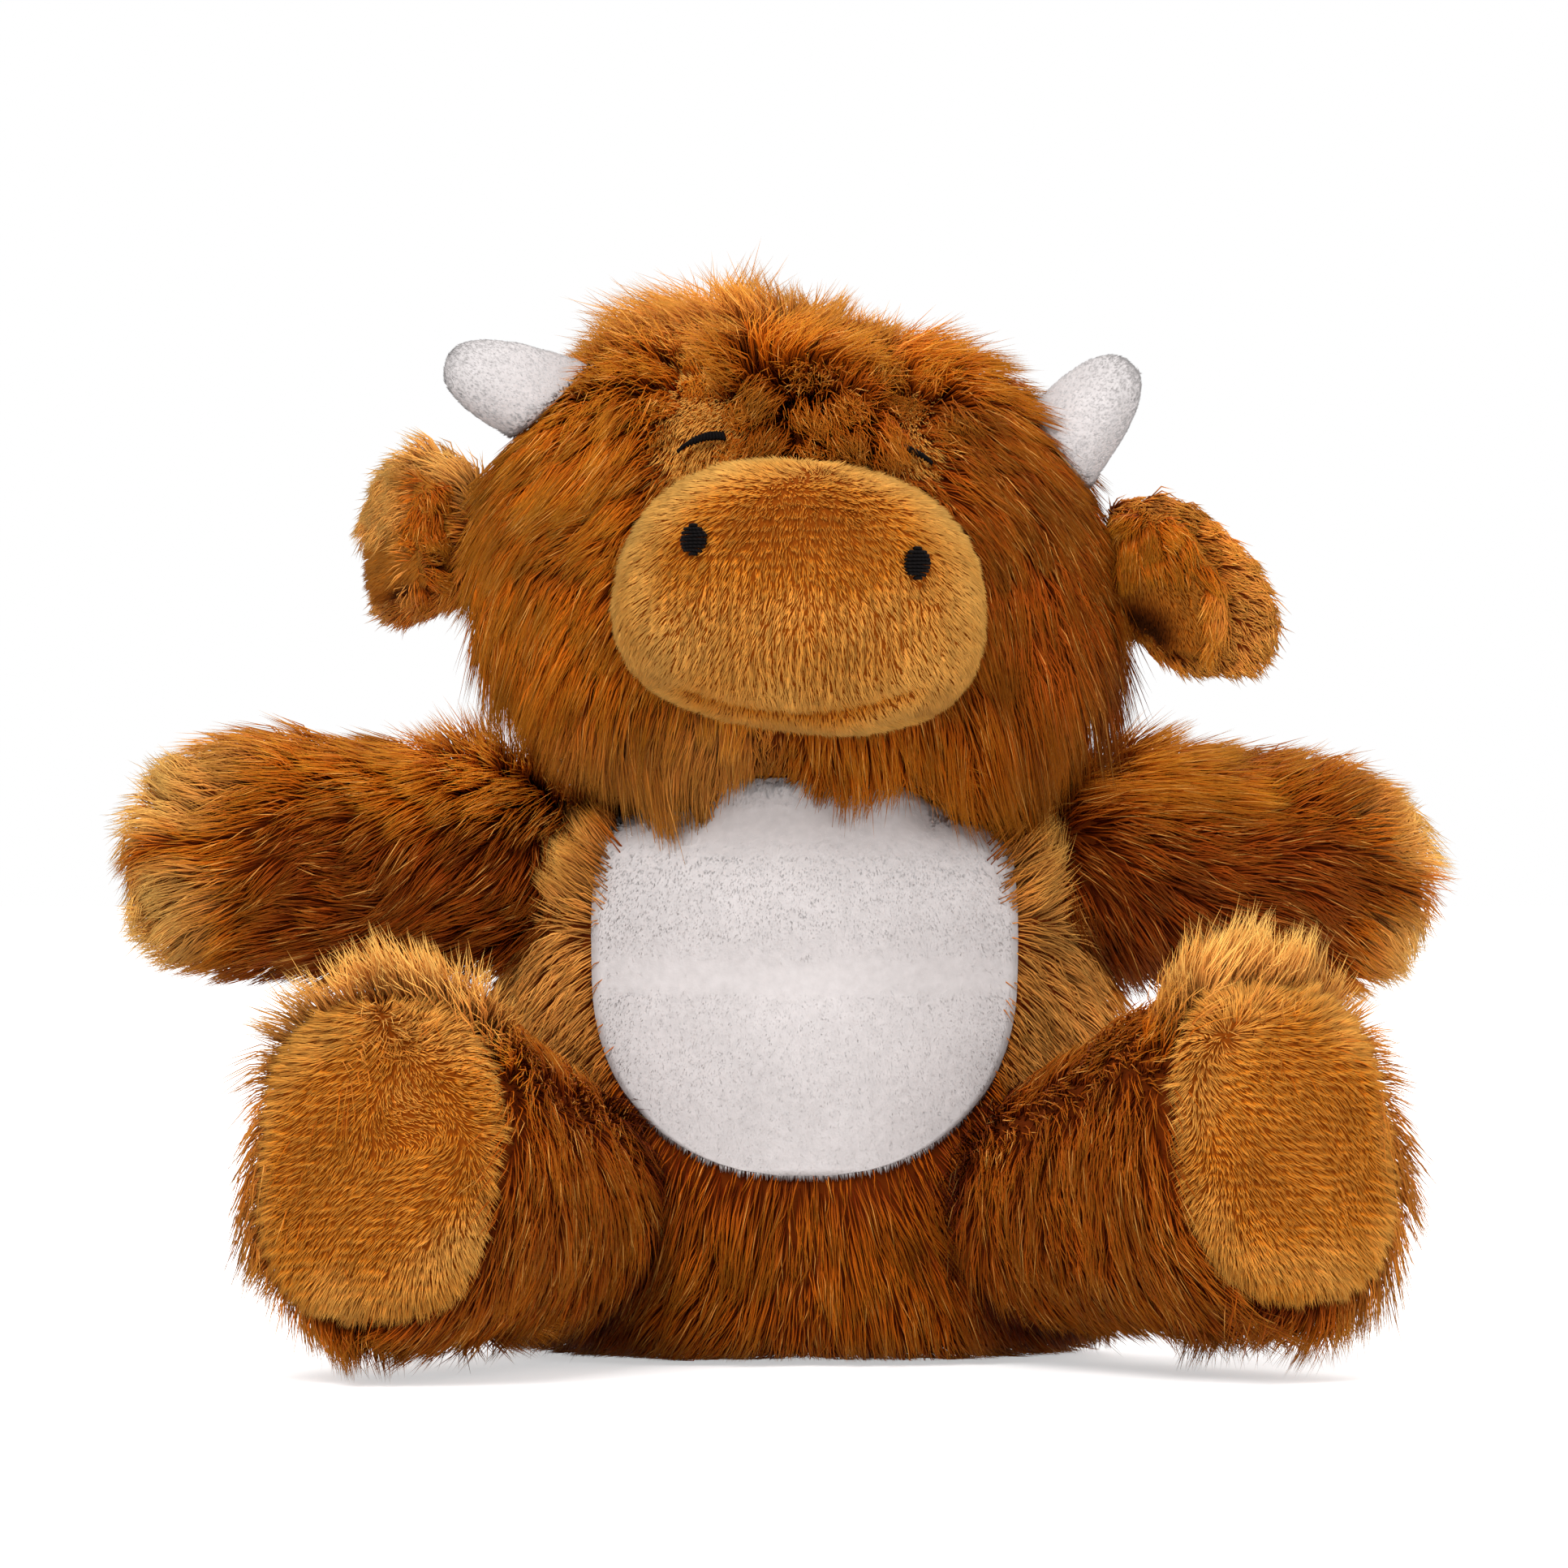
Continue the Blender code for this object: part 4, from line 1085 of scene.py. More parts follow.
class PLUSHCOW_OT_neck(Operator):
    """Gathers the pile at the neck, white in front where the belly patch runs up to the chin"""

    bl_idname = "plush_cow.neck"
    bl_label = "Neck"

    def execute(self, context):
        skin = piece_named("neck_skin")
        places, _ = clad(skin, "long", "neck", "neck_filling", fill=0.8)
        skin.data.materials.append(backing("white"))
        for face in skin.data.polygons:
            face.material_index = int(face.center.y < NECK_FRONT)
        x, y, z = places.T
        comb = DOWN + drift(places, 0.01, 0.3, 3)
        level, full, end = NECK_BAND
        band = 1 - ease(np.abs(z - level), full, end)
        paint(skin, comb, 16, 1.2, band * (y < NECK_FRONT))
        short_pile("neck_front_pile", skin, "neck", True, spread=0.07, bend=0.7)
        side = ease(np.abs(x), 0.006, 0.012)
        # The neck's long pile is painted darker, as shade under the head.
        paint(skin, comb, 40 + 30 * side, 0.8 + 0.8 * side, band * (y > NECK_FRONT), -0.6, 0.3)
        long_pile("neck_pile", skin, "neck")
        return {"FINISHED"}


# Head: the height of its whorl, and the heights and widths between which each part of its pile changes
WHORL = 0.1195
CROWN_HEIGHT = (0.1130, 0.1190)
BROW_HEIGHT = (0.104, 0.109)
BROW_WIDTH = (0.013, 0.021)
CHEEK_TOP = 0.100
CHIN_TOP = 0.086
PILE_BORDER = 0.098  # between the brow's pile and the cheeks'
HORN_ASIDE = (0.017, 0.022)  # where the hair by the horn lies flat
HORN_HEIGHT = (0.109, 0.116)
CHIN_PARTING = 0.0025  # from the muzzle's middle to where the chin's pile parts
FORELOCK_REACH = 0.0116  # how far the forelock falls over the right eye
EYE_DROPS = {"left": 0.0012, "right": 0.0}
EYE_CLEARING = {"left": (0.0028, 0.0060), "right": (0.001, 0.0045)}

# How far the head's pile covers the roots of ears and horn, and how much painted shade it gets under the
# ears
EAR_COVER = {"left": (0.009, 0.011, 0.010), "right": (0.009, 0.012, 0.011)}
EAR_SHADE = {"left": 0.6, "right": 0.75}
HORN_ROOT = (-0.0330, -0.0130, 0.1100)
HORN_COVER = (0.0060, 0.0090, 0.0050)


def grow_head():
    skin = piece_named("head_skin")
    places, normals = clad(skin, "long", "head", "head_cover", fill=0.85)
    x, y, z = places.T
    middle = middle_of("head_cover")
    muzzle = middle_of("muzzle_cover")
    from_whorl = np.stack([(x - (muzzle[0] + 0.001)) / 0.03, 0 * x, (z - WHORL) / 0.03], axis=1)
    backwards = np.stack([x * 12, np.full_like(x, 0.7), np.full_like(x, -0.75)], axis=1)
    front = ease(-(y - middle[1]), -0.008, 0.008)
    face = (normals[:, 1] < 0) * 1.0
    comb = from_whorl + (0, 0, -0.28)
    comb = comb * front[:, None] + backwards * (1 - front)[:, None] + drift(places, 0.013, 0.8, 4)
    crown = ease(z, *CROWN_HEIGHT)
    chin = ease(CHIN_TOP - z, 0.0, 0.010)
    aside = np.abs(x - muzzle[0])
    brow = ease(z, *BROW_HEIGHT) * (1 - ease(aside, *BROW_WIDTH)) * face
    forelock = brow * (1 - crown)

    # No long pile over the eyes, except for the end of the forelock over the right one
    near_eye = np.ones(len(places))
    for side in SIDES:
        eye = middle_of(f"eye_{side}")
        above = z - eye[2] + EYE_DROPS[side]
        spread = np.hypot((x - eye[0]) * 0.8, above * np.where(above > 0, 0.42, 0.8))
        near_eye = np.minimum(near_eye, ease(spread, *EYE_CLEARING[side]))
    over_eye = 1.0 * ((x > 0) & (x < FORELOCK_REACH))
    near_eye = np.where(face > 0, np.maximum(near_eye, over_eye), 1.0)
    beside_muzzle = ease(distance_to(places, "muzzle_skin"), 0.001, 0.008)
    density = 1 - hidden_in(places, ("muzzle_skin", "body_skin"), 0.0012)
    density *= 1 + 0.7 * brow * np.exp(-(((z - WHORL + 0.003) / 0.003) ** 2))

    # Cheeks, chin and crown
    low = ease(CHEEK_TOP - z, 0.0, 0.012)
    loose = low * (ease(x, 0.012, 0.024) + 0.45 * ease(-x, 0.016, 0.028))
    lift = 38 + 35 * crown + 29 * forelock - 4 * chin + 6 * (1 - beside_muzzle) + 10 * loose
    parting = x - muzzle[0] + CHIN_PARTING
    bare_chin = chin * (1 - ease(np.abs(parting), 0.0015, 0.006)) * face
    jowl = chin * (ease(-parting, 0.003, 0.008) + ease(parting, 0.004, 0.022))
    tufts = crown * (0.22 + 0.6 * ease(muzzle[0] + 0.004 - x, 0.0, 0.012))
    tufts *= 1 - 0.75 * ease(muzzle[0] - 0.021 - x, 0.0, 0.006)
    length = 0.84 + 0.16 * crown + tufts + 0.06 * chin + 0.42 * jowl + 0.6 * loose - 0.65 * bare_chin
    horn_side = ease(-x, *HORN_ASIDE) * ease(z, *HORN_HEIGHT)
    length *= 1 - 0.45 * horn_side
    comb = comb * (1 - horn_side)[:, None] + np.outer(horn_side, (-0.15, -0.6, -1.0))
    comb += drift(places, 0.006, 0.9, 19) * chin[:, None]

    # Round the roots of the horn and the ears
    near_horn = np.exp(-np.sum(((places - HORN_ROOT) / HORN_COVER) ** 2, axis=1))
    comb += np.outer(near_horn, (-2.0, -0.5, 1.0))
    length += 0.4 * near_horn
    hollow = np.zeros(len(places))
    for side, sign in SIDES.items():
        ear = JOINTS[f"ear_{side}_flap"]
        near_ear = np.exp(-np.sum(((places - ear) / EAR_COVER[side]) ** 2, axis=1))
        comb += np.outer(near_ear, (sign * 2.4, -0.8, 0.5))
        length += 0.55 * near_ear
        lift = lift + 6 * near_ear
        # Painted shade on the head's pile just under each ear.
        hollow += EAR_SHADE[side] * near_ear * ease(ear[2] - 0.001 - z, 0.0, 0.003)
    length = length * (0.15 + 0.85 * near_eye) * (0.75 + 0.25 * beside_muzzle)

    left = ease(-x, -0.004, 0.012)
    pale = 0.5 * crown * ease(z, 0.1180, 0.1225) + 0.75 * chin - 0.7 * forelock - hollow
    # The face below the crown and forelock is painted darker, the right half far more than the left:
    # painted shade on the right side.
    pale += (1 - crown) * (1 - forelock) * (-0.12 * left - 0.9 * (1 - left))
    tousled = comb + drift(places, 0.008, 1.4, 14) + np.outer(forelock, (0, -0.5, -1.0))
    comb = np.where((crown + brow > 0.5)[:, None] & (horn_side < 0.5)[:, None], tousled, comb)
    lower = ease(PILE_BORDER - z, -0.002, 0.002)
    half = ease(-(y - middle[1]), -0.004, 0.002)
    top = ease(crown + brow, 0.35, 0.65)
    paint(skin, comb, lift, length, density * top * (0.7 + 0.6 * forelock), pale, 0.5)
    locks = {"lock_size": 0.0044, "lock_pull": 0.82, "lock_spread": 0.55, "spread": 0.24, "wave": 0.0009}
    long_pile("head_pile_crown", skin, "head", fall=0.2, **locks)
    store(skin, "density_share", density * half * (1 - lower) * (1 - top))
    long_pile("head_pile_brow", skin, "head")
    store(skin, "density_share", density * half * lower)
    long_pile("head_pile_cheeks", skin, "head", fall=0.25)
    store(skin, "density_share", density * (1 - half) * (1 - top))
    long_pile("head_pile_back", skin, "head", BACK_FIBRE)
    paint(skin, comb, 36, 1.5, density * (1 - near_eye), 0.45)
    short_pile("eye_bed_pile", skin, "head", lock_size=0.002)


class PLUSHCOW_OT_head(Operator):
    """Grows the head's shaggy pile: crown, forelock, cheeks, chin and back"""

    bl_idname = "plush_cow.head"
    bl_label = "Head"

    def execute(self, context):
        grow_head()
        return {"FINISHED"}


MUZZLE_HALF = (0.0228, 0.0168)  # half its width and height
MOUTH_RADIUS = 0.034
MOUTH_REACH = (0.0115, 0.0155)  # where the mouth's seam begins to fade and where it ends
MOUTH_GROOVE = 0.0013
MOUTH_WIDTH = 0.0008
NOSTRIL_HALF = (0.0016, 0.0019)


def sew_mouth(skin):
    """Presses the mouth's seam into the muzzle, and gives how deep each place lies in it."""
    places, normals = points_of(skin)
    middle = middle_of("muzzle_cover")
    seam_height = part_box("muzzle_cover")[0].z + MOUTH_RADIUS
    away = np.hypot(places[:, 0] - middle[0], places[:, 2] - seam_height) - MOUTH_RADIUS
    aside = np.abs(places[:, 0] - middle[0])
    low = (1 - ease(aside, *MOUTH_REACH)) * (places[:, 2] < seam_height) * (normals[:, 1] < 0.5)
    groove = np.exp(-((away / MOUTH_WIDTH) ** 2)) * low
    move_points(skin, places - normals * (groove * MOUTH_GROOVE)[:, None])
    return groove


def grow_muzzle():
    skin = piece_named("muzzle_skin")
    groove = sew_mouth(skin)
    places, _ = clad(skin, "short", "head", "muzzle_cover", "lower_lip", fill=0.9)
    x, _, z = places.T
    middle = middle_of("muzzle_cover")
    across = (x - middle[0]) / MUZZLE_HALF[0]
    up = (z - middle[2]) / MUZZLE_HALF[1]
    upper = ease(up, -0.1, 0.5)
    rim = ease(np.hypot(across, up), 0.62, 0.98)
    comb = np.stack([across * (0.35 + 1.3 * rim), 0 * x, up * 1.1 * rim - 0.75], axis=1)
    comb += drift(places, 0.007, 0.4, 5)
    under = np.ones(len(places))
    for side in SIDES:
        nostril = middle_of(f"nostril_{side}")
        spread = np.hypot((x - nostril[0]) / NOSTRIL_HALF[0], (z - nostril[2]) / NOSTRIL_HALF[1])
        under = np.minimum(under, ease(spread, 0.75, 1.15))
    density = (1 - hidden_in(places, ["head_skin"], 0.003)) * under
    centre = np.exp(-((across / 0.6) ** 2) - ((up - 0.35) / 0.4) ** 2)
    # Painted light and shade: paler at the rim, above all its upper part, darker in the middle and in the
    # mouth's groove.
    pale = 0.5 * rim * upper + 0.45 + 0.25 * rim - 1.25 * centre - 0.9 * groove
    pale += drift(places, 0.006, 0.35, 16)[:, 0]
    paint(skin, comb, 32 + 20 * groove, 1 - 0.4 * groove, density, pale)
    store(skin, "rows", centre)
    store(skin, "ribs", (1 - upper) * (1 - rim))
    short_pile("muzzle_pile", skin, "head", lock_pull=0.5, row_pitch=RIDGE_PITCH, row_lift=0.45)


class PLUSHCOW_OT_muzzle(Operator):
    """Sews the mouth's seam into the muzzle and grows its velvety pile"""

    bl_idname = "plush_cow.muzzle"
    bl_label = "Muzzle"

    def execute(self, context):
        grow_muzzle()
        return {"FINISHED"}


# Embroidery
NOSTRIL_ROWS = 9
NOSTRIL_THREAD = 0.00046
EYE_STITCHES = 15
EYE_STITCH = 0.0010
EYE_THREAD = 0.00050
EYE_RAISES = {"left": 0.0005, "right": 0.0003}
STITCH_RISE = 0.0003


def stitch_end(tree, x, z, raise_by):
    """The place of a stitch's end on the pile, and the normal of the cover under it."""
    found, normal = front_hit(tree, x, z)
    return found - Vector((0, raise_by / max(0.5, -normal.y), 0)), normal


def stitch_nostril(side):
    """Satin stitches across the nostril, longest in its middle."""
    muzzle = tree_of("muzzle_skin")
    low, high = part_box(f"nostril_{side}")
    half_width, half_height = (high.x - low.x) / 2, (high.z - low.z) / 2
    stitches = []
    for k in range(NOSTRIL_ROWS):
        share = 2 * k / (NOSTRIL_ROWS - 1) - 1
        reach = half_width * 1.12 * math.sqrt(1.1 - share**2)
        wobble = noise.noise(Vector((k * 1.7, SIDES[side], 0))) * 0.0003
        ends = []
        for way in (-1, 1):
            x = (low.x + high.x) / 2 + way * reach + wobble
            z = (low.z + high.z) / 2 + share * half_height * 0.95 + way * wobble
            ends.append(stitch_end(muzzle, x, z, pile_sizes().short_pile * 0.45)[0])
        normal = front_hit(muzzle, (low.x + high.x) / 2, (low.z + high.z) / 2)[1]
        stitches.append((*ends, normal))
    embroider(f"nostril_{side}", stitches, NOSTRIL_THREAD)


def stitch_eye(side):
    """Satin stitches along the arc of the closed eye, leaning outwards at its outer end."""
    head = tree_of("head_skin")
    sign = SIDES[side]
    raised = pile_sizes().sink + EYE_RAISES[side]
    low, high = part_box(f"eye_{side}")
    stitches = []
    for k in range(EYE_STITCHES):
        share = k / (EYE_STITCHES - 1)
        x = low.x + EYE_STITCH / 2 + (high.x - low.x - EYE_STITCH) * (share if sign < 0 else 1 - share)
        rise = math.sin(share * math.pi * 0.62) ** 0.8
        z = low.z + EYE_STITCH / 2 + (high.z - low.z - EYE_STITCH) * rise - EYE_DROPS[side]
        lean = (0.9 - 1.3 * share) * -sign + noise.noise(Vector((k * 2.3, sign, 4))) * 0.3
        step = Vector((math.sin(lean), 0, math.cos(lean))) * (EYE_STITCH / 2)
        first, normal = stitch_end(head, x - step.x, z - step.z, raised)
        second, _ = stitch_end(head, x + step.x, z + step.z, raised)
        stitches.append((first, second, normal))
    embroider(f"eye_{side}", stitches, EYE_THREAD)


class PLUSHCOW_OT_embroidery(Operator):
    """Stitches the nostrils and the closed, smiling eyes"""

    bl_idname = "plush_cow.embroidery"
    bl_label = "Nostrils and eyes"

    def execute(self, context):
        for side in SIDES:
            stitch_nostril(side)
            stitch_eye(side)
        return {"FINISHED"}


class PLUSHCOW_OT_horns(Operator):
    """Stuffs the horns and grows their short white pile"""

    bl_idname = "plush_cow.horns"
    bl_label = "Horns"

    def execute(self, context):
        for side in SIDES:
            name = f"horn_{side}"
            skin = stuffed(f"{name}_skin", [name], voxel=0.0010, sink=0.0006, smooth=4, cap=0.0004)
            places, _ = clad(skin, "white", "head", name, fill=0.95)
            away = unit(places - middle_of("head_cover")) + drift(places, 0.006, 0.1, 6)
            paint(skin, away, 9, 0.9, 1.0)
            short_pile(f"{name}_pile", skin, "head", True, WHITE_TUFT, spread=0.05)
        return {"FINISHED"}


EAR_SHAGGINESS = {"left": 1.0, "right": 0.0}
EAR_FRINGE = {"left": 0.1015, "right": 0.0970}  # height above which long pile falls over the lining
# The ear's hollow, dented and painted dark as shade: its middle across and its height, its half width and
# half height, and its depth
EAR_HOLLOW = {"left": (-0.0460, 0.0935, 0.0050, 0.0012), "right": (0.0390, 0.0880, 0.0048, 0.0044)}
EAR_HOLLOW_DEPTH = 0.0012
EAR_LOCK = 0.0025


def grow_ear(side):
    joint = JOINTS[f"ear_{side}_flap"]
    body = f"ear_{side}"
    shaggy = EAR_SHAGGINESS[side]
    sizes = {"voxel": 0.0008, "sink": 0.0001, "smooth": 3, "cap": 0.0002}
    lining = stuffed(f"{body}_lining_skin", [f"{body}_lining"], round_them=False, **sizes)
    sizes = {"voxel": 0.0011, "sink": 0.0004, "smooth": 4, "cap": 0.0003}
    back = stuffed(f"{body}_skin", [f"{body}_back"], round_them=False, **sizes)
    places, normals = clad(back, "long", body, f"{body}_back", fill=0.6)
    axis = unit((middle_of(f"{body}_back") - joint)[None])[0]
    comb = unit(places - joint) * 0.6 + axis * 0.8 + drift(places, 0.008, 0.5, 7) + (0, 0, -0.2)
    covered = 1 - ease(distance_to(places, lining.name), 0.0006, 0.0014)
    upper = ease(places[:, 2], joint[2] + 0.001, joint[2] + 0.007)
    tip = ease(np.linalg.norm(places - joint, axis=1), 0.013, 0.019)
    rim = (normals[:, 1] < 0.2) * (1 - covered)
    length = 0.52 + 0.03 * shaggy + 0.22 * upper * shaggy - 0.12 * tip - 0.12 * rim * (1 - upper)
    pale = 0.2 + (0.7 * shaggy + 0.2) * upper + 0.4 * tip
    paint(back, comb, 22 + 14 * upper * shaggy, length, 1 - covered, pale, 0.3)
    long_pile(f"{body}_pile", back, body, EAR_FIBRE, lock_size=EAR_LOCK)

    places, normals = clad(lining, "short", body, f"{body}_lining", fill=0.5)
    x, _, z = places.T
    hollow_x, hollow_z, wide, high = EAR_HOLLOW[side]
    shown = (normals[:, 1] < 0.3) * 1.0
    hollow = np.exp(-(((x - hollow_x) / wide) ** 2) - ((z - hollow_z) / high) ** 2) * shown
    move_points(lining, places - normals * (hollow * EAR_HOLLOW_DEPTH)[:, None])
    comb = unit(places - joint) + (0, 0, -0.5) + drift(places, 0.006, 0.4, 12)
    # The lining is painted darker, and in the hollow almost black: painted shade.
    paint(lining, comb, 36, 1.0, shown, -0.75 - 2.0 * hollow)
    short_pile(f"{body}_lining_pile", lining, body)
    root = shaggy * (1 - ease((places - joint) @ axis, 0.003, 0.006))
    outer = (1 - shaggy) * ease(x, 0.0475, 0.0505)
    ragged = z + drift(places, 0.004, 0.003, 18)[:, 0]
    fringe = ease(ragged, EAR_FRINGE[side], EAR_FRINGE[side] + 0.003)
    fringe = np.maximum(fringe, np.maximum(root, outer))
    comb = axis * 0.7 + (0, 0, -0.5) + drift(places, 0.005, 1.2, 17)
    comb = comb - np.outer(outer + 1.3 * root, axis * 0.9)
    pale = (1.0 * shaggy - 0.3 * (1 - shaggy)) * (1 - root) + 0.7 * outer - 0.6 * root
    paint(lining, comb, 38, 0.48, shown * fringe, pale, 0.3)
    long_pile(f"{body}_fringe_pile", lining, body, lock_size=EAR_LOCK)


class PLUSHCOW_OT_ears(Operator):
    """Stuffs the ears, shaggy at the back and along the rim, velvety inside"""

    bl_idname = "plush_cow.ears"
    bl_label = "Ears"

    def execute(self, context):
        for side in SIDES:
            grow_ear(side)
        return {"FINISHED"}


# Arms, from the shoulder's joint: the pale tip, the long pile near the body and the upper side's pile
ARM_TIP = (0.028, 0.044)
ARM_ROOT = (0.002, 0.014)
ARM_FAR = (0.022, 0.042)
ARM_TOP = (0.003, 0.011)


def grow_arm(side):
    body = f"arm_{side}"
    skin = piece_named(f"{body}_skin")
    places, normals = clad(skin, "long", body, f"{body}_cover", fill=0.8)
    joint = JOINTS[f"{body}_swing"]
    axis = unit((middle_of(f"{body}_filling") - joint)[None])[0]
    along = (places - joint) @ axis
    height = (places - joint - along[:, None] * axis)[:, 2]
    tip = ease(along, *ARM_TIP)
    root = 1 - ease(along, *ARM_ROOT)
    up = ease(height, *ARM_TOP)
    far = ease(along, *ARM_FAR)
    under = ease(-height, *ARM_TOP) * (1 - far)
    parted = np.outer(tip * np.clip(height / 0.006, -1, 1) * 0.7, (0, 0, 1))
    comb = axis + (0, 0, -0.18) + parted + drift(places, 0.011, 0.9, 8)
    comb = comb + np.outer(root * (1 - up), (0, -0.6, -0.6))
    comb += np.outer(root * up, (0, -0.4, 1.6) - axis)
    density = 1 - hidden_in(places, ("body_skin", "head_skin"), PILE_OVERLAP)
    density = density * (1 + 2.0 * up * (1 - ease(along, 0.012, 0.026)))
    length = 0.80 + 0.40 * up * (1 - far) + 0.25 * under
    length += 0.35 * root * up
    lift = 33 + 3 * tip + 8 * root + 14 * up * (1 - far)
    # Painted shade: darker on the underside, and almost black in the parting at the tip.
    cleft_shade = tip * np.exp(-((height / 0.0016) ** 2)) * (normals[:, 1] < 0.3)
    pale = 1.5 * tip + 0.15 * up * (1 - tip) - 1.1 * (1 - up) * (1 - tip) - 1.9 * cleft_shade
    paint(skin, comb, lift, length, density, pale, 0.4)
    long_pile(f"{body}_pile", skin, body)


class PLUSHCOW_OT_arms(Operator):
    """Grows the arms' shaggy pile, out along the limb and parted at the tip"""

    bl_idname = "plush_cow.arms"
    bl_label = "Arms"

    def execute(self, context):
        for side in SIDES:
            grow_arm(side)
        return {"FINISHED"}


# Legs: how far before the sole its rim begins and is full, and the upper and the outer side's pile
LEG_RIM = (-0.013, -0.003)
LEG_TOP = (0.006, 0.017)
LEG_LEVEL = (0.002, 0.012)
LEG_OUTER = (0.003, 0.012)
SOLE_EDGE = (0.010, 0.016)


def grow_leg(side):
    body, pad_name = f"leg_{side}", f"foot_pad_{side}"
    skin = piece_named(f"{body}_skin")
    places, normals = clad(skin, "long", body, f"{body}_cover", fill=0.85)
    joint = JOINTS[f"{body}_splay"]
    pad = middle_of(pad_name)
    end = np.linalg.norm(pad - joint)
    axis = (pad - joint) / end
    along = (places - joint) @ axis
    spoke = places - joint - along[:, None] * axis
    sizes = {"voxel": 0.0009, "sink": -0.0004, "smooth": 4, "cap": 0.0010}
    sole = stuffed(f"{pad_name}_skin", [pad_name], round_them=False, **sizes)
    covered = 1 - ease(distance_to(places, sole.name), 0.0004, 0.0012)
    density = (1 - covered) * (1 - hidden_in(places, others(f"{body}_skin"), PILE_OVERLAP))
    rim = ease(along - end, *LEG_RIM)
    up = ease(spoke[:, 2], *LEG_TOP)
    outer = ease(spoke[:, 0] * SIDES[side], *LEG_OUTER)
    level = 1 - ease(spoke[:, 2], *LEG_LEVEL)
    comb = axis * 0.75 + unit(spoke) * (0.3 - 0.4 * rim * (1 - up))[:, None] + drift(places, 0.009, 1.1, 9)
    comb += np.outer(level, (0, 0, -1.1)) - np.outer(level * (1 - outer), axis * 0.35)
    lift = 32 + 6 * rim + 38 * rim * up + 8 * outer * (1 - up)
    length = 0.82 + 0.48 * rim * up + 0.35 * outer * (1 - up)
    # Pale at the top of the rim; painted shade on the inner side and where the leg meets the body.
    pale = 1.2 * rim * up - 0.7 * (1 - rim * up) * (1 - outer) + 0.35 * outer * (1 - up)
    pale -= CREASE_SHADE * painted_crease_shade(places, "body_skin")
    paint(skin, comb, lift, length, density, pale, 0.4)
    density *= 0.7 + 0.6 * outer + 1.3 * rim * up
    store(skin, "density_share", density)
    long_pile(f"{body}_pile", skin, body, lock_pull=0.55)

    places, normals = clad(sole, "short", body, pad_name, fill=0.9)
    comb = (SIDES[side] * 0.4, 0, -1.0) + drift(places, 0.011, 1.2, 10 + SIDES[side])
    outside = (normals @ axis) > -0.3
    spoke = places - pad - np.outer((places - pad) @ axis, axis)
    edge = ease(np.linalg.norm(spoke, axis=1), *SOLE_EDGE)
    comb += unit(spoke) * (1.4 * edge)[:, None]
    pale = 0.5 * edge - 0.2 + drift(places, 0.008, 0.5, 15)[:, 0]
    paint(sole, comb, 36, 1 + 0.5 * edge, outside * (1 + 0.4 * edge), pale)
    store(sole, "rows", 1.0)
    short_pile(f"{pad_name}_pile", sole, body, row_pitch=RIDGE_PITCH, row_lift=0.35)


class PLUSHCOW_OT_legs(Operator):
    """Grows the legs' shaggy pile, standing up round the velvety soles"""

    bl_idname = "plush_cow.legs"
    bl_label = "Legs and soles"

    def execute(self, context):
        for side in SIDES:
            grow_leg(side)
        return {"FINISHED"}


class PLUSHCOW_OT_tail(Operator):
    """Grows the tail's pile, long on the tuft"""

    bl_idname = "plush_cow.tail"
    bl_label = "Tail"

    def execute(self, context):
        for node, slot, length in (("tail_cord", "short", 0.35), ("tail_tuft", "long", 0.8)):
            skin = stuffed(f"{node}_skin", [node], voxel=0.0010, sink=0.0004, smooth=3, cap=0.0003)
            places, _ = clad(skin, "long", "tail", node, fill=0.8, slot=SLOTS[slot])
            paint(skin, (0, 0.1, -1.0) + drift(places, 0.006, 0.3, 11), 24, length, 1.0)
            long_pile(f"{node}_pile", skin, "tail")
        return {"FINISHED"}


class PLUSHCOW_OT_filling(Operator):
    """Gives the fillings and the bean pouch, which keep their CAD form, the look of packed fibre"""

    bl_idname = "plush_cow.filling"
    bl_label = "Filling"

    def execute(self, context):
        material = backing_material("fibre_filling", colours().fibre, scale=400.0)
        for name, node in frame["nodes"].items():
            if name.endswith("_filling") or name == "bean_pouch":
                node.data.materials.clear()
                node.data.materials.append(material)
        return {"FINISHED"}


# Stage: the photograph's view, the floor and the lamps as (name, place, size, power)
CAMERA_AWAY = 1.1
CAMERA_HEIGHT = 0.070
CAMERA_ASIDE = -0.0025
FIELD_WIDTH = 0.1932
SENSOR_WIDTH = 36.0
FLOOR_SIZE = 4.0
FLOOR_DROP = 0.0002
SHADOW_REACH = (0.13, 0.30)
SHADOW_GLOW = 0.50
LAMP_TARGET = (0, 0, 0.06)
LAMPS = (
    ("key", (-0.35, -0.85, 0.75), 0.6, 10.0),
    ("fill", (0.75, -0.70, 0.30), 0.7, 4.6),
    ("top", (0.1, 0.40, 0.8), 0.5, 3.7),
)


def emptied(owner):
    """A writer for a material's or a world's nodes, with none in it yet."""
    owner.use_nodes = True
    owner.node_tree.nodes.clear()
    return NodeWriter(owner.node_tree)


def seen_by_camera(w):
    path = w.add("ShaderNodeLightPath").node
    return w.math("MAXIMUM", path.outputs["Is Camera Ray"], path.outputs["Is Glossy Ray"])


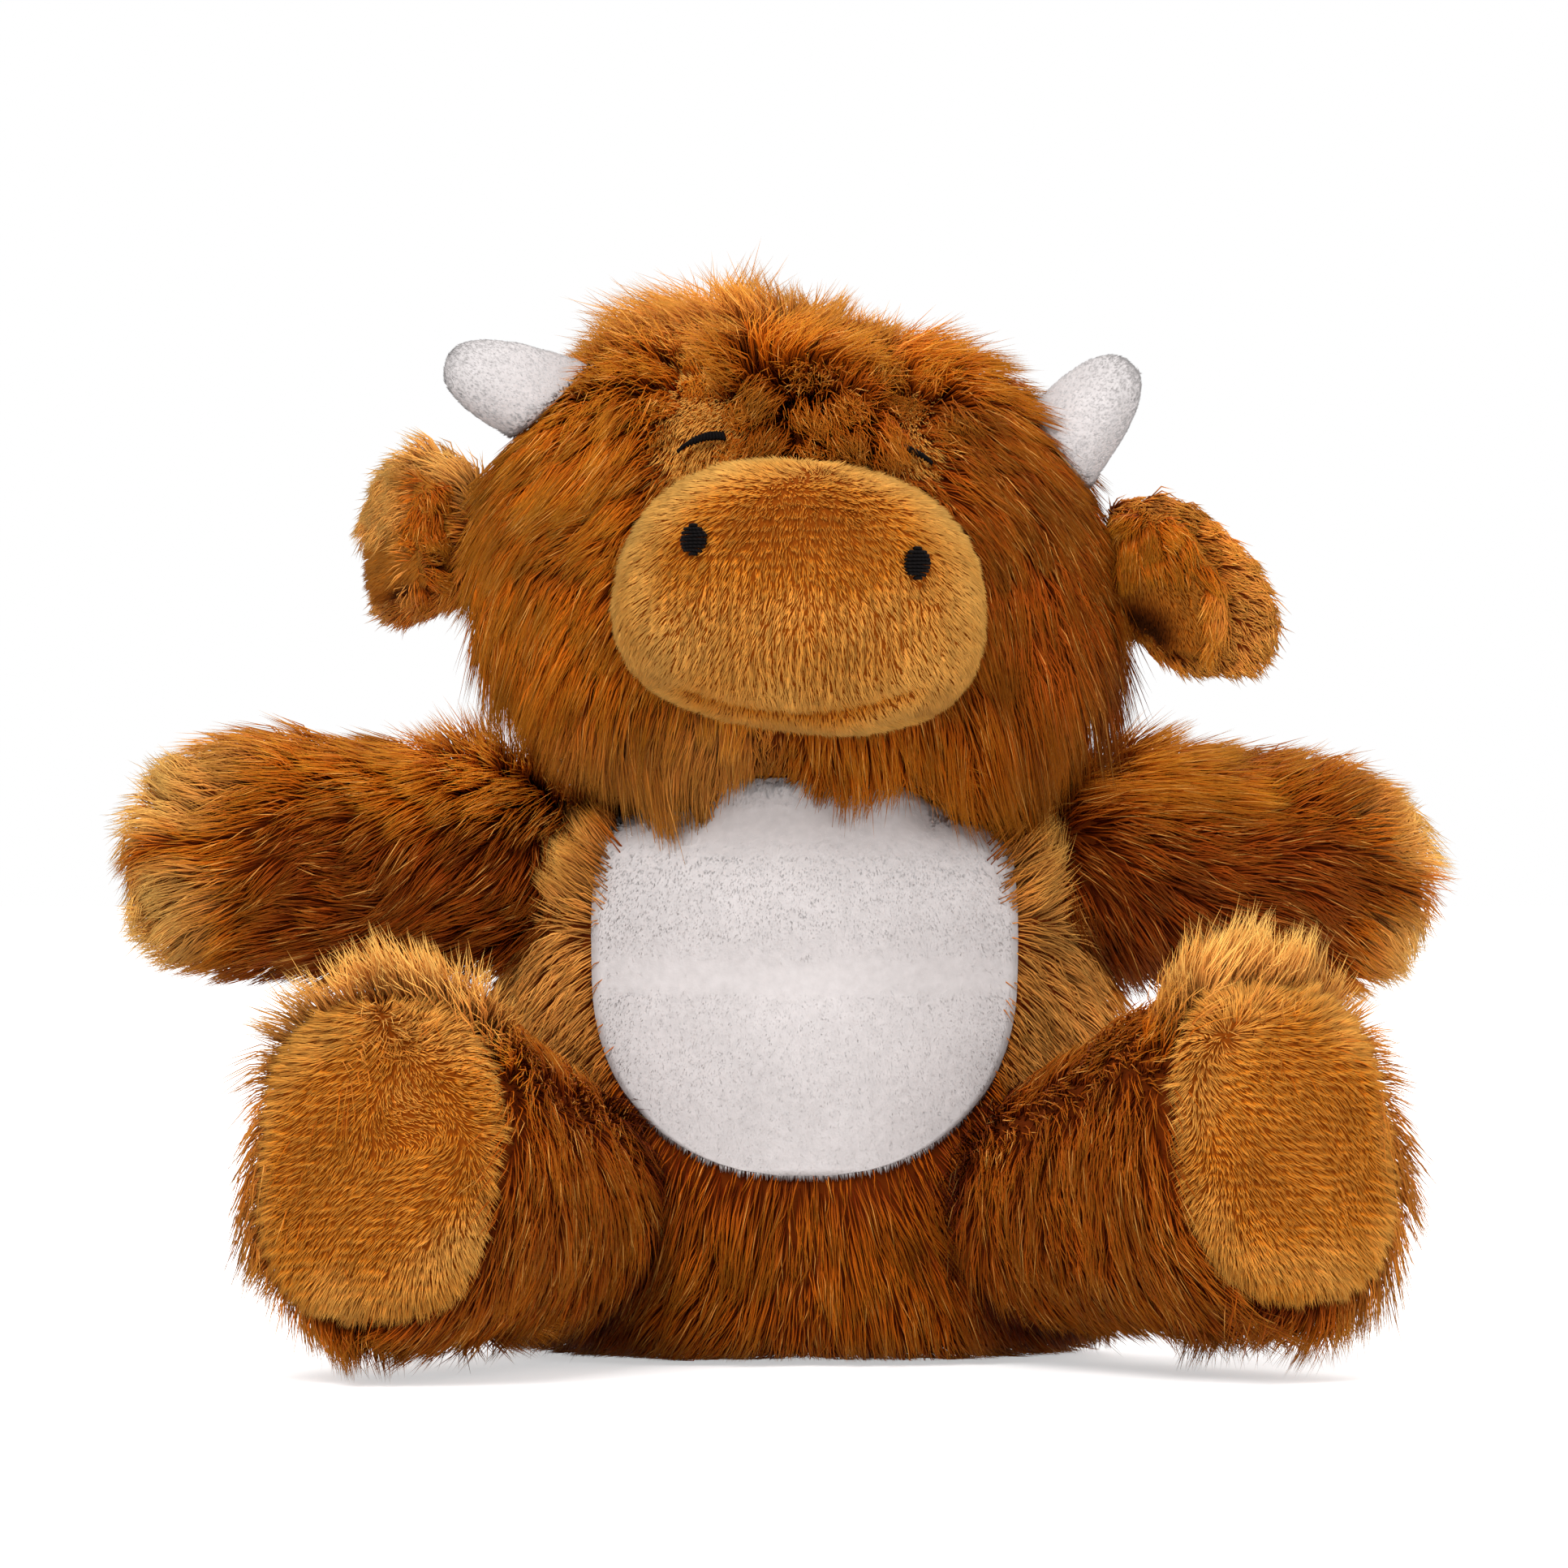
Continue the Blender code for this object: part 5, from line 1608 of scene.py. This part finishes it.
class PLUSHCOW_OT_stage(Operator):
    """Sets up the photograph's camera, the white floor and surroundings, and soft lamps"""

    bl_idname = "plush_cow.stage"
    bl_label = "Stage"

    def execute(self, context):
        scene = context.scene
        view = bpy.data.cameras.new("photo_camera")
        view.sensor_width = SENSOR_WIDTH
        view.lens = SENSOR_WIDTH * CAMERA_AWAY / FIELD_WIDTH
        view.clip_end = 10
        camera = link("photo_camera", view)
        camera.location = (CAMERA_ASIDE, -CAMERA_AWAY, CAMERA_HEIGHT)
        camera.rotation_euler = (math.radians(90), 0, 0)
        scene.camera = camera

        mesh = bmesh.new()
        bmesh.ops.create_grid(mesh, x_segments=1, y_segments=1, size=FLOOR_SIZE)
        floor = link("floor", mesh_data(mesh, "floor"))
        floor.location = (0, 0, -FLOOR_DROP)
        floor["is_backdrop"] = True
        material = bpy.data.materials.new("white_floor")
        w = emptied(material)
        diffuse = w.add("ShaderNodeBsdfDiffuse", {"Color": rgba(colours().floor)})
        place = w.add("ShaderNodeTexCoord", output=3)
        far = w.ramp(w.vector("LENGTH", place), *SHADOW_REACH, SHADOW_GLOW, 1.0)
        strength = w.times(seen_by_camera(w), far)
        glow = w.add("ShaderNodeEmission", {"Color": (1, 1, 1, 1), "Strength": strength})
        both = w.add("ShaderNodeAddShader", {0: diffuse, 1: glow})
        w.plug(both, w.tree.nodes.new("ShaderNodeOutputMaterial").inputs["Surface"])
        floor.data.materials.append(material)

        scene.world = bpy.data.worlds.new("studio")
        w = emptied(scene.world)
        strength = w.times_plus(seen_by_camera(w), 0.5, 0.5)
        light = w.add("ShaderNodeBackground", {"Color": (1, 1, 1, 1), "Strength": strength})
        w.plug(light, w.tree.nodes.new("ShaderNodeOutputWorld").inputs["Surface"])

        for name, place, size, power in LAMPS:
            lamp = bpy.data.lights.new(name, "AREA")
            lamp.size = size
            lamp.energy = power
            stand = link(name, lamp)
            stand.location = place
            stand.rotation_euler = (Vector(LAMP_TARGET) - Vector(place)).to_track_quat("-Z", "Y").to_euler()
        scene.view_settings.view_transform = "Standard"
        return {"FINISHED"}


PIECE_OPERATORS = (
    PLUSHCOW_OT_covers,
    PLUSHCOW_OT_body,
    PLUSHCOW_OT_neck,
    PLUSHCOW_OT_head,
    PLUSHCOW_OT_muzzle,
    PLUSHCOW_OT_embroidery,
    PLUSHCOW_OT_horns,
    PLUSHCOW_OT_ears,
    PLUSHCOW_OT_arms,
    PLUSHCOW_OT_legs,
    PLUSHCOW_OT_tail,
    PLUSHCOW_OT_filling,
    PLUSHCOW_OT_stage,
)


class PLUSHCOW_PT_panel(Panel):
    """Lists the cow's pieces, with their sizes and colours"""

    bl_idname = "PLUSHCOW_PT_panel"
    bl_label = "Plush cow"
    bl_space_type = "VIEW_3D"
    bl_region_type = "UI"
    bl_category = "Plush cow"

    def draw(self, context):
        for kind in PIECE_OPERATORS:
            self.layout.operator(kind.bl_idname)
        for group in (context.scene.plush_cow_pile, context.scene.plush_cow_colours):
            box = self.layout.box()
            for name in group.bl_rna.properties.keys():
                if name not in ("rna_type", "name"):
                    box.prop(group, name)


CLASSES = (CowPileSettings, CowColourSettings, *PIECE_OPERATORS, PLUSHCOW_PT_panel)


def register():
    for kind in CLASSES:
        bpy.utils.register_class(kind)
    bpy.types.Scene.plush_cow_pile = PointerProperty(type=CowPileSettings)
    bpy.types.Scene.plush_cow_colours = PointerProperty(type=CowColourSettings)


def unregister():
    del bpy.types.Scene.plush_cow_pile
    del bpy.types.Scene.plush_cow_colours
    for kind in reversed(CLASSES):
        bpy.utils.unregister_class(kind)


def main():
    register()
    bpy.ops.plush_cow.covers()
    bpy.ops.plush_cow.body()
    bpy.ops.plush_cow.neck()
    bpy.ops.plush_cow.head()
    bpy.ops.plush_cow.muzzle()
    bpy.ops.plush_cow.embroidery()
    bpy.ops.plush_cow.horns()
    bpy.ops.plush_cow.ears()
    bpy.ops.plush_cow.arms()
    bpy.ops.plush_cow.legs()
    bpy.ops.plush_cow.tail()
    bpy.ops.plush_cow.filling()
    bpy.ops.plush_cow.stage()
    boxes = {"cad": CAD_BOX, "visual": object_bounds()}
    {name: [list(corner) for corner in box] for name, box in boxes.items()}


if __name__ == "__main__":
    main()
